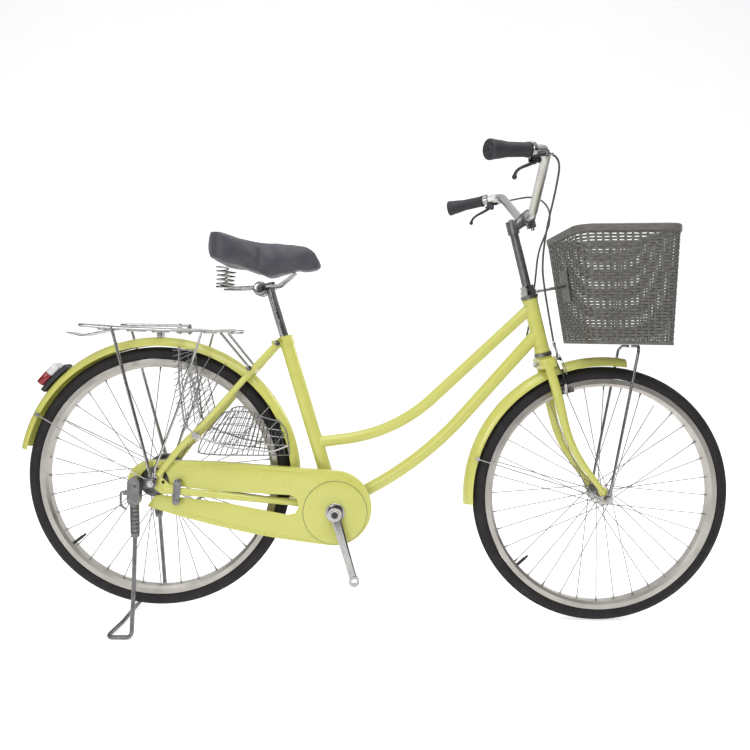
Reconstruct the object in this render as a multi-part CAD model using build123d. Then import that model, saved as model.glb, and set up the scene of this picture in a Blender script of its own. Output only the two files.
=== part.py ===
from build123d import *
import os
from math import atan2, cos, degrees, hypot, pi, radians, sin, sqrt

# A town bicycle standing on its rear stand: the rear wheel hangs clear of the ground.
# Millimetres. +X forward, +Y to the rider's left, +Z up, the ground at Z = 0.
# Lengths along X are taken from the rear axle and moved to the middle when saved.

os.makedirs("parts", exist_ok=True)

# ---- driving dimensions ----
tyre_od = 664.0            # 26 x 1-3/8 tyre
tyre_width = 37.0
tyre_wall = 3.5
bead_seat_r = 295.0        # 590 mm bead seat
flange_r = 301.5           # top of the rim's flanges
rim_width = 28.0
rim_wall = 2.2
rim_depth = 19.5
wheelbase = 1133.0
stand_lift = 34.0          # rear tyre clear of the ground
guard_gap = 25.0           # tyre tread to the outside of a mudguard
guard_width = 52.0
guard_depth = 22.0
guard_sheet = 1.2
rear_guard_ends = (-6.0, 168.0)      # degrees about the axle, from +X towards +Z
front_guard_ends = (81.6, 184.3)
spoke_count = 36
spoke_dia = 2.0
axle_dia = 9.5
front_over_locknut = 100.0
rear_over_locknut = 118.0
dropout_plate = 5.0
running = 0.05             # radial clearance of every turning or sliding fit
touch = 0.3                # gap between curved faces that lie together

bottom_bracket = (448.0, 291.0)
shell_dia = 40.0
shell_width = 68.0
spindle_dia = 17.0
crank_length = 170.0
crank_angle = -72.8        # right crank, degrees from +X
pedal_thread_dia = 14.3
chain_pitch = 12.7
roller_dia = 7.75
ring_teeth = 36
sprocket_teeth = 18
chain_y = -43.0

head_bottom = (973.0, 697.8)
head_length = 142.0
head_angle = 74.8
head_dia = 37.0
head_bore = 32.0
steerer_dia = 25.4
quill_dia = 22.2
cup_height = 9.0
upper_tube_dia = 28.6
lower_tube_dia = 31.8
tube_wall = 1.5
seat_tube_dia = 34.9
seat_tube_length = 459.0
seat_tube_lean = 17.11     # degrees back from upright
seatpost_dia = 25.4
seatpost_show = 118.0
seat_stay_dia = 16.0
chain_stay_dia = 18.0

bar_dia = 22.2
bar_clamp_dia = 25.4
grip_length = 105.0
cable_dia = 5.0

# ---- places worked out from them ----
tyre_r = tyre_od / 2
rear_x, rear_z = 0.0, tyre_r + stand_lift
front_x, front_z = wheelbase, tyre_r
guard_r = tyre_r + guard_gap
bb_x, bb_z = bottom_bracket
drop_in = rear_over_locknut / 2
drop_out = drop_in + dropout_plate
rearmost = -guard_r * cos(radians(180 - rear_guard_ends[1]))
origin_x = (rearmost + front_x + tyre_r) / 2


# ---- makers ----
def save(name, *pieces):
    # one file per named part; its separate solids stay separate
    solids = [Pos(-origin_x, 0, 0) * s for piece in pieces for s in piece.solids()]
    export_step(Compound(children=solids), f"parts/{name}.step")


def bar(start, end, dia, bore=0.0):
    # a straight round bar, or a tube
    p, q = Vector(*start), Vector(*end)
    plane = Plane(origin=p, z_dir=q - p)
    face = Circle(dia / 2) - Circle(bore / 2) if bore else Circle(dia / 2)
    return extrude(plane * face, amount=(q - p).length)


def rod(points, dia, bend=20.0, bore=0.0):
    # a bent round bar: straight runs joined by arcs, one radius or one for each corner
    path = FilletPolyline(*[Vector(*p) for p in points], radius=bend)
    plane = Plane(origin=path @ 0, z_dir=path % 0)
    solid = sweep(plane * Circle(dia / 2), path=path)
    if bore:
        solid -= sweep(plane * Circle(bore / 2), path=path)
    return solid


def side(outline, y0, y1):
    # a side-view outline in X and Z, made thick from y0 to y1
    plane = Plane(origin=(0, max(y0, y1), 0), x_dir=(1, 0, 0), z_dir=(0, -1, 0))
    return extrude(plane * outline, amount=abs(y1 - y0))


def disc(x, z, radius, y0, y1, bore=0.0):
    face = Circle(radius) - Circle(bore) if bore else Circle(radius)
    return side(Pos(x, z) * face, y0, y1)


def strap(points, radius, y0, y1):
    # a flat link with a round end at each point
    ends = [Pos(x, z) * Circle(radius) for x, z in points]
    outline = ends[0]
    for first, second in zip(points, points[1:]):
        length = hypot(second[0] - first[0], second[1] - first[1])
        turn = degrees(atan2(second[1] - first[1], second[0] - first[0]))
        middle = ((first[0] + second[0]) / 2, (first[1] + second[1]) / 2)
        outline += Pos(*middle) * Rot(0, 0, turn) * Rectangle(length, 2 * radius)
    for end in ends[1:]:
        outline += end
    return side(outline, y0, y1)


def nut(x, z, y0, y1, flats=15.0, bore=0.0):
    face = RegularPolygon(flats / 2, 6, major_radius=False)
    if bore:
        face -= Circle(bore / 2)
    return side(Pos(x, z) * face, y0, y1)


def pair(piece):
    # the piece and its mirror image on the other side of the bicycle
    return [piece, mirror(piece, about=Plane.XZ)]


def radial_plane(x, z, angle):
    # local x runs across the wheel, local y runs outward from the axle at the angle
    a = radians(angle)
    return Plane(origin=(x, 0, z), x_dir=(0, 1, 0), z_dir=(sin(a), 0, -cos(a)))


def about_axle(profile, x, z, start=0.0, sweep_angle=360.0):
    face = radial_plane(x, z, start) * profile
    return revolve(face, axis=Axis((x, 0, z), (0, -1, 0)), revolution_arc=sweep_angle)


def on_circle(x, z, radius, angle):
    return x + radius * cos(radians(angle)), z + radius * sin(radians(angle))


# ---- steering frame: u forward, w up the steering axis, from the head tube's foot ----
steer_tilt = radians(90 - head_angle)
up = (-sin(steer_tilt), cos(steer_tilt))
ahead = (cos(steer_tilt), sin(steer_tilt))


def steer(u, y, w):
    x = head_bottom[0] + u * ahead[0] + w * up[0]
    z = head_bottom[1] + u * ahead[1] + w * up[1]
    return x, y, z


def in_steer(x, z):
    dx, dz = x - head_bottom[0], z - head_bottom[1]
    return dx * ahead[0] + dz * ahead[1], dx * up[0] + dz * up[1]


def stack(*steps, bore=0.0):
    # turned pieces on the steering axis: (diameter, low w, high w)
    solid = None
    for dia, low, high in steps:
        piece = bar(steer(0, 0, low), steer(0, 0, high), dia)
        solid = piece if solid is None else solid + piece
    if bore:
        solid -= bar(steer(0, 0, steps[0][1] - 50), steer(0, 0, steps[-1][2] + 50), bore)
    return solid


# ---- wheels ----
def tyre_and_rim(prefix, x, z, valve_angle):
    centre_r = tyre_r - tyre_width / 2
    tread = Circle(tyre_width / 2) - Circle(tyre_width / 2 - tyre_wall)
    section = Pos(0, centre_r) * tread
    section -= Pos(0, flange_r + touch - 30) * Rectangle(80, 60)
    inside = rim_width / 2 - rim_wall
    bead_width = 2.6
    bead_low, bead_high = bead_seat_r + 0.1, flange_r + 2.5
    bead = Rectangle(bead_width, bead_high - bead_low)
    for hand in (-1, 1):
        place = hand * (inside - 0.2 - bead_width / 2)
        section += Pos(place, (bead_low + bead_high) / 2) * bead
    save(prefix + "_tyre", about_axle(section, x, z))

    half, low = rim_width / 2, flange_r - rim_depth
    half_outline = [
        (0, low), (half - 4.5, low), (half, low + 7), (half, flange_r), (inside, flange_r),
        (inside, bead_seat_r), (inside - 4.3, bead_seat_r), (inside - 6.3, low + 5), (0, low + 5)]
    outline = half_outline + [(-a, b) for a, b in reversed(half_outline[1:-1])]
    rim = about_axle(Polygon(*outline, align=None), x, z)
    stem = []
    for dia, inner, outer in ((8.0, low - 26, low - touch / 3), (6.0, low - 36, low - 26)):
        a, b = on_circle(x, z, outer, valve_angle), on_circle(x, z, inner, valve_angle)
        stem.append(bar((a[0], 0, a[1]), (b[0], 0, b[1]), dia))
    save(prefix + "_rim", rim, stem[0] + stem[1])


def wheel_spokes(prefix, x, z, flange_radius, flange_at, flange_thick):
    # laced three cross; every second spoke lies outside its flange
    rim_inner = flange_r - rim_depth - 0.2
    lean = 60.0
    spokes = []
    for index in range(spoke_count):
        hand = 1 if index % 2 == 0 else -1
        outside = 1 if (index // 2) % 2 == 0 else -1
        rim_angle = 360 * index / spoke_count
        hub_angle = rim_angle + outside * lean
        hub_y = flange_at[hand] + hand * outside * (flange_thick / 2 + spoke_dia / 2 + 0.1)
        a = on_circle(x, z, flange_radius - 3, hub_angle)
        b = on_circle(x, z, rim_inner, rim_angle)
        spokes.append(bar((a[0], hub_y, a[1]), (b[0], hand * 3.0, b[1]), spoke_dia))
    save(prefix + "_spokes", *spokes)


def turned(x, z, steps, bore):
    # stepped hub on the axle: (radius, y low, y high)
    solid = None
    for radius, low, high in steps:
        piece = disc(x, z, radius, low, high)
        solid = piece if solid is None else solid + piece
    return solid - disc(x, z, bore / 2, -200, 200)


hub_bore = axle_dia + 2 * running
flange_thick = 3.0

tyre_and_rim("front", front_x, front_z, 222)
front_flange_y, front_flange_radius = 29.0, 23.0
front_half = front_over_locknut / 2
wheel_spokes("front", front_x, front_z, front_flange_radius,
             {1: front_flange_y, -1: -front_flange_y}, flange_thick)
hub_steps = [(11, -front_flange_y, front_flange_y), (14, -front_half + 3, -front_flange_y + 4),
             (14, front_flange_y - 4, front_half - 3)]
hub_steps += [(front_flange_radius, s * front_flange_y - 1.5, s * front_flange_y + 1.5)
              for s in (-1, 1)]
save("front_hub", turned(front_x, front_z, hub_steps, hub_bore))

tyre_and_rim("rear", rear_x, rear_z, 218)
rear_flange_right, rear_flange_left, rear_flange_radius = -27.0, 24.0, 28.0
wheel_spokes("rear", rear_x, rear_z, rear_flange_radius,
             {1: rear_flange_left, -1: rear_flange_right}, flange_thick)
freewheel_boss = 12.0
drum_face, drum_radius, drum_width = 31.0, 43.0, 13.0
rear_steps = [(15, rear_flange_right, drum_face), (freewheel_boss, -50, rear_flange_right),
              (rear_flange_radius, rear_flange_right - 1.5, rear_flange_right + 1.5),
              (rear_flange_radius, rear_flange_left - 1.5, rear_flange_left + 1.5)]
save("rear_hub", turned(rear_x, rear_z, rear_steps, hub_bore))
drum = disc(rear_x, rear_z, drum_radius, drum_face, drum_face + drum_width)
drum -= disc(rear_x, rear_z, drum_radius - 4, drum_face + 3, drum_face + drum_width)
drum += disc(rear_x, rear_z, 13, drum_face, drum_face + drum_width)
save("rear_brake_drum", drum - disc(rear_x, rear_z, hub_bore / 2, -200, 200))


# ---- drive: two toothed wheels and the chain round them ----
def pitch_radius(teeth):
    return chain_pitch / 2 / sin(pi / teeth)


ring_r, sprocket_r = pitch_radius(ring_teeth), pitch_radius(sprocket_teeth)
span = hypot(bb_x - rear_x, bb_z - rear_z)
line_angle = degrees(atan2(bb_z - rear_z, bb_x - rear_x))
spread = degrees(atan2(ring_r - sprocket_r, sqrt(span**2 - (ring_r - sprocket_r)**2)))
top_angle = line_angle + 90 + spread       # where the upper run leaves each toothed wheel
low_angle = line_angle - 90 - spread


def toothed(x, z, teeth, first_angle, thick, bore_radius, y):
    radius = pitch_radius(teeth)
    outline = Pos(x, z) * Circle(radius + 2.8)
    seat, mouth = Circle(roller_dia / 2 + 0.6), Circle(roller_dia / 2 + 1.5)
    for tooth in range(teeth):
        angle = first_angle + 360 * tooth / teeth
        outline -= Pos(*on_circle(x, z, radius, angle)) * seat
        outline -= Pos(*on_circle(x, z, radius + 3.0, angle)) * mouth
    outline -= Pos(x, z) * Circle(bore_radius)
    return side(outline, y - thick / 2, y + thick / 2)


tooth_thick = 2.0
sprocket = toothed(rear_x, rear_z, sprocket_teeth, top_angle, tooth_thick,
                   freewheel_boss + running, chain_y)
sprocket += disc(rear_x, rear_z, 24, chain_y - 4, chain_y + 6, bore=freewheel_boss + running)
save("sprocket", sprocket)

ring_bore = 15.0
ring = toothed(bb_x, bb_z, ring_teeth, top_angle, tooth_thick, ring_bore, chain_y)
for window in range(5):
    place = on_circle(bb_x, bb_z, 44, 90 + 72 * window)
    ring -= disc(place[0], place[1], 15, chain_y - 5, chain_y + 5)
save("chainring", ring)

plate_gap, plate_thick, plate_half = 1.7, 1.1, 4.2


def loop_outline(grow):
    upper = [on_circle(rear_x, rear_z, sprocket_r + grow, top_angle),
             on_circle(bb_x, bb_z, ring_r + grow, top_angle)]
    lower = [on_circle(bb_x, bb_z, ring_r + grow, low_angle),
             on_circle(rear_x, rear_z, sprocket_r + grow, low_angle)]
    nose = on_circle(bb_x, bb_z, ring_r + grow, line_angle)
    tail = on_circle(rear_x, rear_z, sprocket_r + grow, line_angle + 180)
    edges = Line(*upper) + ThreePointArc(upper[1], nose, lower[0])
    edges += Line(*lower) + ThreePointArc(lower[1], tail, upper[0])
    return make_face(edges)


band = loop_outline(plate_half) - loop_outline(-plate_half)
plates = [side(band, chain_y + s * plate_gap, chain_y + s * (plate_gap + plate_thick))
          for s in (-1, 1)]
rollers = []


def add_roller(place):
    rollers.append(disc(place[0], place[1], roller_dia / 2, chain_y - plate_gap,
                        chain_y + plate_gap))


for x, z, teeth, wrap in ((rear_x, rear_z, sprocket_teeth, 360 - (top_angle - low_angle)),
                          (bb_x, bb_z, ring_teeth, top_angle - low_angle)):
    turn = 1 if teeth == sprocket_teeth else -1
    radius, step = pitch_radius(teeth), 360 / teeth
    for tooth in range(int(wrap / step) + 1):
        add_roller(on_circle(x, z, radius, top_angle + turn * tooth * step))
for angle, first, spare in ((top_angle, 1, 1), (low_angle, 2, 3)):
    a = Vector(*on_circle(rear_x, rear_z, sprocket_r, angle))
    b = Vector(*on_circle(bb_x, bb_z, ring_r, angle))
    links = int((b - a).length / chain_pitch)
    for link in range(first, links - spare + 1):
        spot = a + (b - a) * (link / links)
        add_roller((spot.X, spot.Y))
save("chain", *plates, *rollers)

# ---- bottom bracket and cranks ----
crank_in, crank_out = 60.0, 76.0
shell = disc(bb_x, bb_z, shell_dia / 2, -shell_width / 2, shell_width / 2, bore=17.5)
save("bottom_bracket_shell", shell)
cup = disc(bb_x, bb_z, shell_dia / 2 + 1.5, shell_width / 2, shell_width / 2 + 3.5)
cup += disc(bb_x, bb_z, 17.4, shell_width / 2 - 16, shell_width / 2)
cup -= disc(bb_x, bb_z, spindle_dia / 2 + running, 0, 80)
save("bottom_bracket_cups", *pair(cup))
spindle = disc(bb_x, bb_z, spindle_dia / 2, -crank_out + 6, crank_out - 6)
save("crank_spindle", spindle)


def crank(hand):
    angle = crank_angle if hand < 0 else crank_angle + 180
    ex, ez = on_circle(bb_x, bb_z, crank_length, angle)
    out = 17.0            # the arm leans outward to the pedal
    root = disc(bb_x, bb_z, 17, hand * crank_in, hand * crank_out)
    eye = disc(ex, ez, 13, hand * (crank_in + out), hand * (crank_out + out - 2))
    stations = ((8, 26, 13, 0.0), (60, 22, 12, 0.42), (crank_length - 6, 19, 11, 0.97))
    faces = []
    for reach, wide, thick, share in stations:
        cx, cz = on_circle(bb_x, bb_z, reach, angle)
        cy = hand * ((crank_in + crank_out) / 2 + share * (out - 1))
        turn = radians(angle)
        plane = Plane(origin=(cx, cy, cz), x_dir=(0, 1, 0), z_dir=(cos(turn), 0, sin(turn)))
        faces.append(plane * RectangleRounded(thick, wide, 4))
    arm = loft(faces)
    solid = root + arm + eye
    solid -= disc(bb_x, bb_z, spindle_dia / 2, 0, hand * (crank_out - 6))
    solid -= disc(bb_x, bb_z, 11, hand * (crank_out - 6), hand * (crank_out + 5))
    solid -= disc(ex, ez, pedal_thread_dia / 2, hand * 60, hand * 120)
    return solid


right_crank = crank(-1)
right_crank += disc(bb_x, bb_z, ring_bore, chain_y - 1.0, -crank_in) - disc(
    bb_x, bb_z, spindle_dia / 2, 0, -90)
right_crank += disc(bb_x, bb_z, 27, chain_y - 4.0, chain_y - 1.0, bore=ring_bore)
bolts = [disc(bb_x, bb_z, 7, s * (crank_out - 6), s * (crank_out + 1)) for s in (-1, 1)]
save("crank_arms", right_crank, crank(1), *bolts)

# ---- main frame ----
head_tube = bar(steer(0, 0, 0), steer(0, 0, head_length), head_dia, bore=head_bore)
head_solid = bar(steer(0, 0, 0), steer(0, 0, head_length), head_dia)
save("head_tube", head_tube)

lean = radians(seat_tube_lean)


def seat_axis(t, back=0.0, y=0.0):
    # a point t up the seat tube from the bottom bracket, and back behind it
    x = bb_x - t * sin(lean) - back * cos(lean)
    z = bb_z + t * cos(lean) - back * sin(lean)
    return x, y, z


collar_height, collar_dia = 24.0, 40.0
lug_length = 55.0
post_bore = seatpost_dia + 2 * running
seat_tube = bar(seat_axis(0), seat_axis(seat_tube_length - lug_length), seat_tube_dia,
                bore=seat_tube_dia - 2 * tube_wall)
seat_tube += bar(seat_axis(seat_tube_length - lug_length), seat_axis(seat_tube_length),
                 seat_tube_dia, bore=post_bore)
seat_tube += bar(seat_axis(seat_tube_length - collar_height), seat_axis(seat_tube_length),
                 collar_dia, bore=post_bore)
seat_solid = bar(seat_axis(0), seat_axis(seat_tube_length), seat_tube_dia)
shell_solid = disc(bb_x, bb_z, shell_dia / 2, -shell_width / 2, shell_width / 2)
seat_tube -= shell_solid
ear = Vector(*seat_axis(seat_tube_length - collar_height / 2, back=26))
for hand in (-1, 1):
    lug = Pos(ear.X, hand * 6.5, ear.Z) * Rot(0, -seat_tube_lean, 0) * Box(20, 5, 20)
    seat_tube += lug - bar(seat_axis(0), seat_axis(500), collar_dia - 1)
seat_tube -= disc(ear.X, ear.Z, 3.1, -30, 30)
save("seat_tube", seat_tube)

upper_points = [steer(0, 0, 121), (598, 0, 486.5), seat_axis(176)]
upper_tube = rod(upper_points, upper_tube_dia, 400, bore=upper_tube_dia - 2 * tube_wall)
save("upper_tube", upper_tube - head_solid - seat_solid)

lower_points = [steer(0, 0, 53), (676.2, 0, 422.7), (bb_x, 0, bb_z)]
lower_tube = rod(lower_points, lower_tube_dia, 850, bore=lower_tube_dia - 2 * tube_wall)
save("lower_tube", lower_tube - head_solid - seat_solid - shell_solid)

drop_y = (drop_in + drop_out) / 2
seat_stay_foot = (12.8, 384.2)
chain_stay_foot = (25.0, 347.0)
dropout = strap([seat_stay_foot, (rear_x, rear_z), chain_stay_foot, (40.0, 350.0)], 11.0,
                -drop_in, -drop_out)
dropout += strap([(8.0, 376.0), (30.0, 356.0)], 10.0, -drop_in, -drop_out)
dropout -= disc(rear_x, rear_z, axle_dia / 2 + 0.1, -40, -80)
dropout -= disc(24, 366, 4.5, -40, -80)
dropout_solid = dropout
chain_stay_route = [(chain_stay_foot[0], -drop_y, chain_stay_foot[1]), (190, -52, 329.5),
                    (330, -36, 313.5), (bb_x - 3, -23, bb_z + 3)]
chain_stay = rod(chain_stay_route, chain_stay_dia, 300, bore=chain_stay_dia - 2 * tube_wall)
chain_stay = chain_stay - shell_solid - dropout_solid
stay_bridge = bar((372, -40, 308.5), (372, 40, 308.5), 14)
chain_stay_tool = rod(chain_stay_route, chain_stay_dia, 300)
for tool in pair(chain_stay_tool):
    stay_bridge -= tool
stay_bridge = stay_bridge.solids().sort_by(SortBy.VOLUME)[-1]
save("chain_stays", *pair(dropout_solid), *pair(chain_stay), stay_bridge)

stay_lug_y = seat_tube_dia / 2 + 4.0
seat_stay_route = [(seat_stay_foot[0], -drop_y - 2.5, seat_stay_foot[1]), (64.7, -63.5, 451.7),
                   (132, -57, 519.9), (228, -38.5, 634.3), (302, -stay_lug_y, 717)]
seat_stay_tool = rod(seat_stay_route, seat_stay_dia, 110)
seat_stay = rod(seat_stay_route, seat_stay_dia, 110, bore=seat_stay_dia - 2 * tube_wall)
collar_solid = bar(seat_axis(seat_tube_length - collar_height), seat_axis(seat_tube_length),
                   collar_dia)
seat_stay = seat_stay - dropout_solid - seat_solid - collar_solid
guard_bridge_r = guard_r + 7.0 + touch
bridge_x, bridge_z = on_circle(rear_x, rear_z, guard_bridge_r, 49.4)
bridge = bar((bridge_x, -40, bridge_z), (bridge_x, 40, bridge_z), 14)
for tool in pair(seat_stay_tool):
    bridge -= tool
bridge = bridge.solids().sort_by(SortBy.VOLUME)[-1]
stay_main = seat_stay.solids().sort_by(SortBy.VOLUME)[-1]
save("seat_stays", *pair(stay_main), bridge)

# ---- headset ----
cup_dia = 44.0
cup_bore = steerer_dia + 2 * running
lower_cup = stack((cup_dia, -cup_height, 0), (head_bore - 0.1, 0, 14), bore=cup_bore)
upper_cup = stack((head_bore - 0.1, head_length - 14, head_length),
                  (cup_dia, head_length, head_length + cup_height), bore=cup_bore)
save("headset_cups", lower_cup, upper_cup)

nut_foot = head_length + cup_height + touch
steerer_top = nut_foot + 24
head_nuts = stack((38, nut_foot, nut_foot + 9), (42, nut_foot + 9, nut_foot + 11),
                  (34, nut_foot + 11, steerer_top), bore=steerer_dia)

# ---- fork, front axle ----
crown_top = -cup_height - touch
crown_low = -38.0
steerer = bar(steer(0, 0, crown_low), steer(0, 0, steerer_top), steerer_dia)
crown = bar(steer(0, 0, crown_top - 4), steer(0, 0, crown_top), 40)
crown_width, crown_length = 92.0, 40.0
crown_plane = Plane(origin=steer(0, 0, crown_low), x_dir=(ahead[0], 0, ahead[1]),
                    z_dir=(up[0], 0, up[1]))
crown += extrude(crown_plane * RectangleRounded(crown_length, crown_width, 14),
                 amount=crown_top - 4 - crown_low)
axle_u, axle_w = in_steer(front_x, front_z)
tab_in = front_half


def blade(hand):
    # an oval blade that narrows and curves forward to its tab
    stations = ((0.0, crown_low + 14, 34.0, 25.0), (0.0, -90, 42.0, 24.0), (0.0, -170, 44.5, 22.0),
                (3.0, -225, 46.5, 19.5), (18.0, -288, 49.0, 17.0), (40.0, -344, 51.5, 15.0),
                (axle_u - 4, axle_w + 14, tab_in + 2.5, 13.5))
    faces = []
    for index, (u, w, y, wide) in enumerate(stations):
        low = stations[max(index - 1, 0)]
        high = stations[min(index + 1, len(stations) - 1)]
        a, b = Vector(*steer(low[0], low[2], low[1])), Vector(*steer(high[0], high[2], high[1]))
        x, yy, z = steer(u, y, w)
        plane = Plane(origin=(x, yy, z), x_dir=(0, 1, 0), z_dir=b - a)
        faces.append(plane * Ellipse(0.42 * wide, 0.5 * wide))
    solid = loft(faces)
    return solid if hand > 0 else mirror(solid, about=Plane.XZ)


fork = steerer + crown + blade(1) + blade(-1)
fork -= bar(steer(0, 0, 10), steer(0, 0, steerer_top + 5), quill_dia + 2 * running)
tab = strap([(front_x, front_z), (front_x - 12, front_z + 20)], 11, tab_in, tab_in + 5)
for piece in pair(tab):
    fork += piece
fork -= disc(front_x, front_z, axle_dia / 2 + 0.1, -80, 80)
brake_w = -26.0
fork -= bar(steer(-40, 0, brake_w), steer(40, 0, brake_w), 6.2)
save("fork", fork)

stay_eye = 2.5
front_axle = disc(front_x, front_z, axle_dia / 2, -70, 70)
nut_in = tab_in + 5 + 2 * stay_eye
front_nuts = pair(nut(front_x, front_z, nut_in, nut_in + 8, bore=axle_dia))
cones = pair(disc(front_x, front_z, 8, front_half - 2.8, front_half - 0.1, bore=axle_dia / 2))
save("front_axle", front_axle, *front_nuts, *cones)

# ---- rear axle, its nuts and the stand's bracket plates ----
eye = 3.0
stand_plate_in = drop_out + 3 * eye
stand_plate_out = stand_plate_in + 4.0
rear_axle = disc(rear_x, rear_z, axle_dia / 2, -88, 88)
rear_nuts = pair(nut(rear_x, rear_z, stand_plate_out, stand_plate_out + 9, bore=axle_dia))
rear_cones = [disc(rear_x, rear_z, 8, -drop_in + 0.1, -50.3, bore=axle_dia / 2),
              disc(rear_x, rear_z, 8, 52.5, drop_in - 0.1, bore=axle_dia / 2)]
save("rear_axle", rear_axle, *rear_nuts, *rear_cones)

pivot_x, pivot_z = -36.0, 362.0
pivot_dia = 8.0
pivot_end = 104.0
bracket = strap([(rear_x, rear_z), (pivot_x, pivot_z)], 12, -stand_plate_in, -stand_plate_out)
bracket -= disc(rear_x, rear_z, axle_dia / 2, -60, -100)
bracket += disc(pivot_x, pivot_z, pivot_dia / 2, -stand_plate_out, -pivot_end)
save("stand_brackets", *pair(bracket))

# ---- stand: a bent rod on two cast heads ----
head_in = stand_plate_out + 2.0
head_out = head_in + 20.0
head_mid = (head_in + head_out) / 2
leg_dia = 10.0
leg_route = [(-35, -head_mid, 262), (-32, -112, 110), (-31, -131, leg_dia / 2 + 1.5),
             (-92, -128, leg_dia / 2), (-78, -62, 12)]
leg_half = leg_route + [(x, -y, z) for x, y, z in reversed(leg_route)]
legs = rod(leg_half, leg_dia, [120, 12, 14, 30, 30, 14, 12, 120])
head = strap([(pivot_x, pivot_z + 8), (pivot_x - 1, 330)], 15, -head_in, -head_out)
head += bar((pivot_x - 1, -head_mid, 335), (-35, -head_mid, 238), 19)
head -= disc(pivot_x, pivot_z, pivot_dia / 2 + running, -60, -120)
stand_heads = pair(head)
stand = legs
for piece in stand_heads:
    stand += piece

lock_x, lock_z, lock_y = pivot_x - 22.0, 346.0, -head_mid
lock_pin = 5.0
cheeks = [strap([(pivot_x - 10, lock_z), (lock_x, lock_z)], 4.5, lock_y + s * 4.4, lock_y + s * 7)
          for s in (-1, 1)]
stand += cheeks[0] + cheeks[1] + disc(lock_x, lock_z, lock_pin / 2, lock_y - 5, lock_y + 5)
save("stand_legs", stand)
loop = disc(lock_x, lock_z, 5.5, lock_y - 4, lock_y + 4)
loop += rod([(lock_x - 3, lock_y, lock_z + 2), (lock_x - 12, lock_y, lock_z + 1),
             (lock_x - 12, lock_y, lock_z - 32), (lock_x + 2, lock_y, lock_z - 42)], 5, 6)
loop -= disc(lock_x, lock_z, lock_pin / 2 + running, lock_y - 20, lock_y + 20)
save("stand_lock", loop)

# ---- mudguards ----


def guard_section(outer_r, sheet):
    # a curved channel open towards the axle
    half, low = guard_width / 2, outer_r - guard_depth
    outer = [(-half, low), (0, outer_r), (half, low)]
    inner = [(half - sheet, low), (0, outer_r - sheet), (sheet - half, low)]
    edges = ThreePointArc(*outer) + Line(outer[2], inner[0])
    edges += ThreePointArc(*inner) + Line(inner[2], outer[0])
    return make_face(edges)


def guard(x, z, ends):
    return about_axle(guard_section(guard_r, guard_sheet), x, z, ends[0], ends[1] - ends[0])


save("rear_mudguard", guard(rear_x, rear_z, rear_guard_ends))
save("front_mudguard", guard(front_x, front_z, front_guard_ends))

wire = 3.0
guard_edge_r = guard_r - guard_depth + 4


def guard_stay(x, z, angle, eye_in, eye_thick, bends):
    # a wire from the guard's edge to an eye on the axle
    top_x, top_z = on_circle(x, z, guard_edge_r, angle)
    foot_x, foot_z = on_circle(x, z, 13, angle)
    tongue = on_circle(x, z, 15, angle)
    edge_y = -guard_width / 2 - wire / 2 - touch
    piece = rod([(foot_x, -eye_in - wire / 2, foot_z), *bends, (top_x, edge_y, top_z)], wire, 30)
    ring = strap([(x, z), tongue], 4.5, -eye_in, -eye_in - eye_thick)
    ring += disc(x, z, 10, -eye_in, -eye_in - eye_thick)
    clip = disc(top_x, top_z, 5.5, -guard_width / 2 - 0.2, edge_y - wire / 2 - 0.8)
    return piece + clip + (ring - disc(x, z, axle_dia / 2, 0, -120))


def stay_bend(x, z, angle, share, y):
    bx, bz = on_circle(x, z, guard_edge_r * share, angle)
    return bx, y, bz


rear_stay_angle, front_stay_angle = 152.0, 164.0
rear_wire = guard_stay(rear_x, rear_z, rear_stay_angle, drop_out + 2 * eye, eye,
                       [stay_bend(rear_x, rear_z, rear_stay_angle, 0.16, -drop_out - 2 * eye - 1.5)])
front_wire = guard_stay(front_x, front_z, front_stay_angle, tab_in + 5, stay_eye,
                        [stay_bend(front_x, front_z, front_stay_angle, 0.16, -tab_in - 6.6)])
save("rear_mudguard_stays", *pair(rear_wire))
save("front_mudguard_stays", *pair(front_wire))

# ---- tail reflector on the rear mudguard ----
lamp_angle, lamp_arc = 129.5, 13.5
lamp_foot = guard_r + touch
base_profile = Pos(0, lamp_foot + 5) * RectangleRounded(38, 14, 4)
base_profile -= Pos(0, guard_r - guard_depth) * Rectangle(80, 2 * guard_depth + 2 * touch)
base = about_axle(base_profile, rear_x, rear_z, lamp_angle, lamp_arc)
lens_profile = Pos(0, lamp_foot + 22) * RectangleRounded(42, 20, 8)
lens = about_axle(lens_profile, rear_x, rear_z, lamp_angle + 2.5, lamp_arc - 4)
save("tail_reflector_base", base)
save("tail_reflector_lens", lens)

# ---- luggage rack ----
rail_dia, rack_half, rack_z = 8.0, 65.0, 741.0
rack_back, rack_front = -180.0, 200.0
rails = []
for hand in (-1, 1):
    rails.append(rod([(rack_front, hand * (rack_half - 12), rack_z),
                      (40, hand * rack_half, rack_z), (-100, hand * rack_half, rack_z + 3),
                      (rack_back, hand * (rack_half - 3), rack_z + 9),
                      (rack_back - 3, 0, rack_z + 9)], rail_dia, [300, 300, 14]))
rack = rails[0] + rails[1]
cross_dia = 6.0
cross_z = rack_z - 5.0
clip_hinge_x, clip_hinge_z = 60.0, rack_z + 12.0
cross_places = ((-130.0, 5.2), (-60.0, 2.1), (0.0, 0.8), (clip_hinge_x, 0.0), (125.0, 0.0),
                (rack_front - 8, 0.0))
for cross_x, rise in cross_places:
    rack += bar((cross_x, -rack_half + 2, cross_z + rise), (cross_x, rack_half - 2, cross_z + rise),
                cross_dia)
clip_half, clip_dia = 36.0, 6.0
for hand in (-1, 1):
    inner = hand * (clip_half + clip_dia)
    hinge_lug = strap([(clip_hinge_x, cross_z), (clip_hinge_x, clip_hinge_z)], 5.5, inner,
                      inner + hand * 3)
    rack += hinge_lug - disc(clip_hinge_x, clip_hinge_z, clip_dia / 2 + running, -80, 80)
tail_line = [(-122.0, rack_z - 0.5), (-190.0, rack_z - 16), (-224.0, rack_z - 8)]
tail_sheet = 2.6
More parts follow.
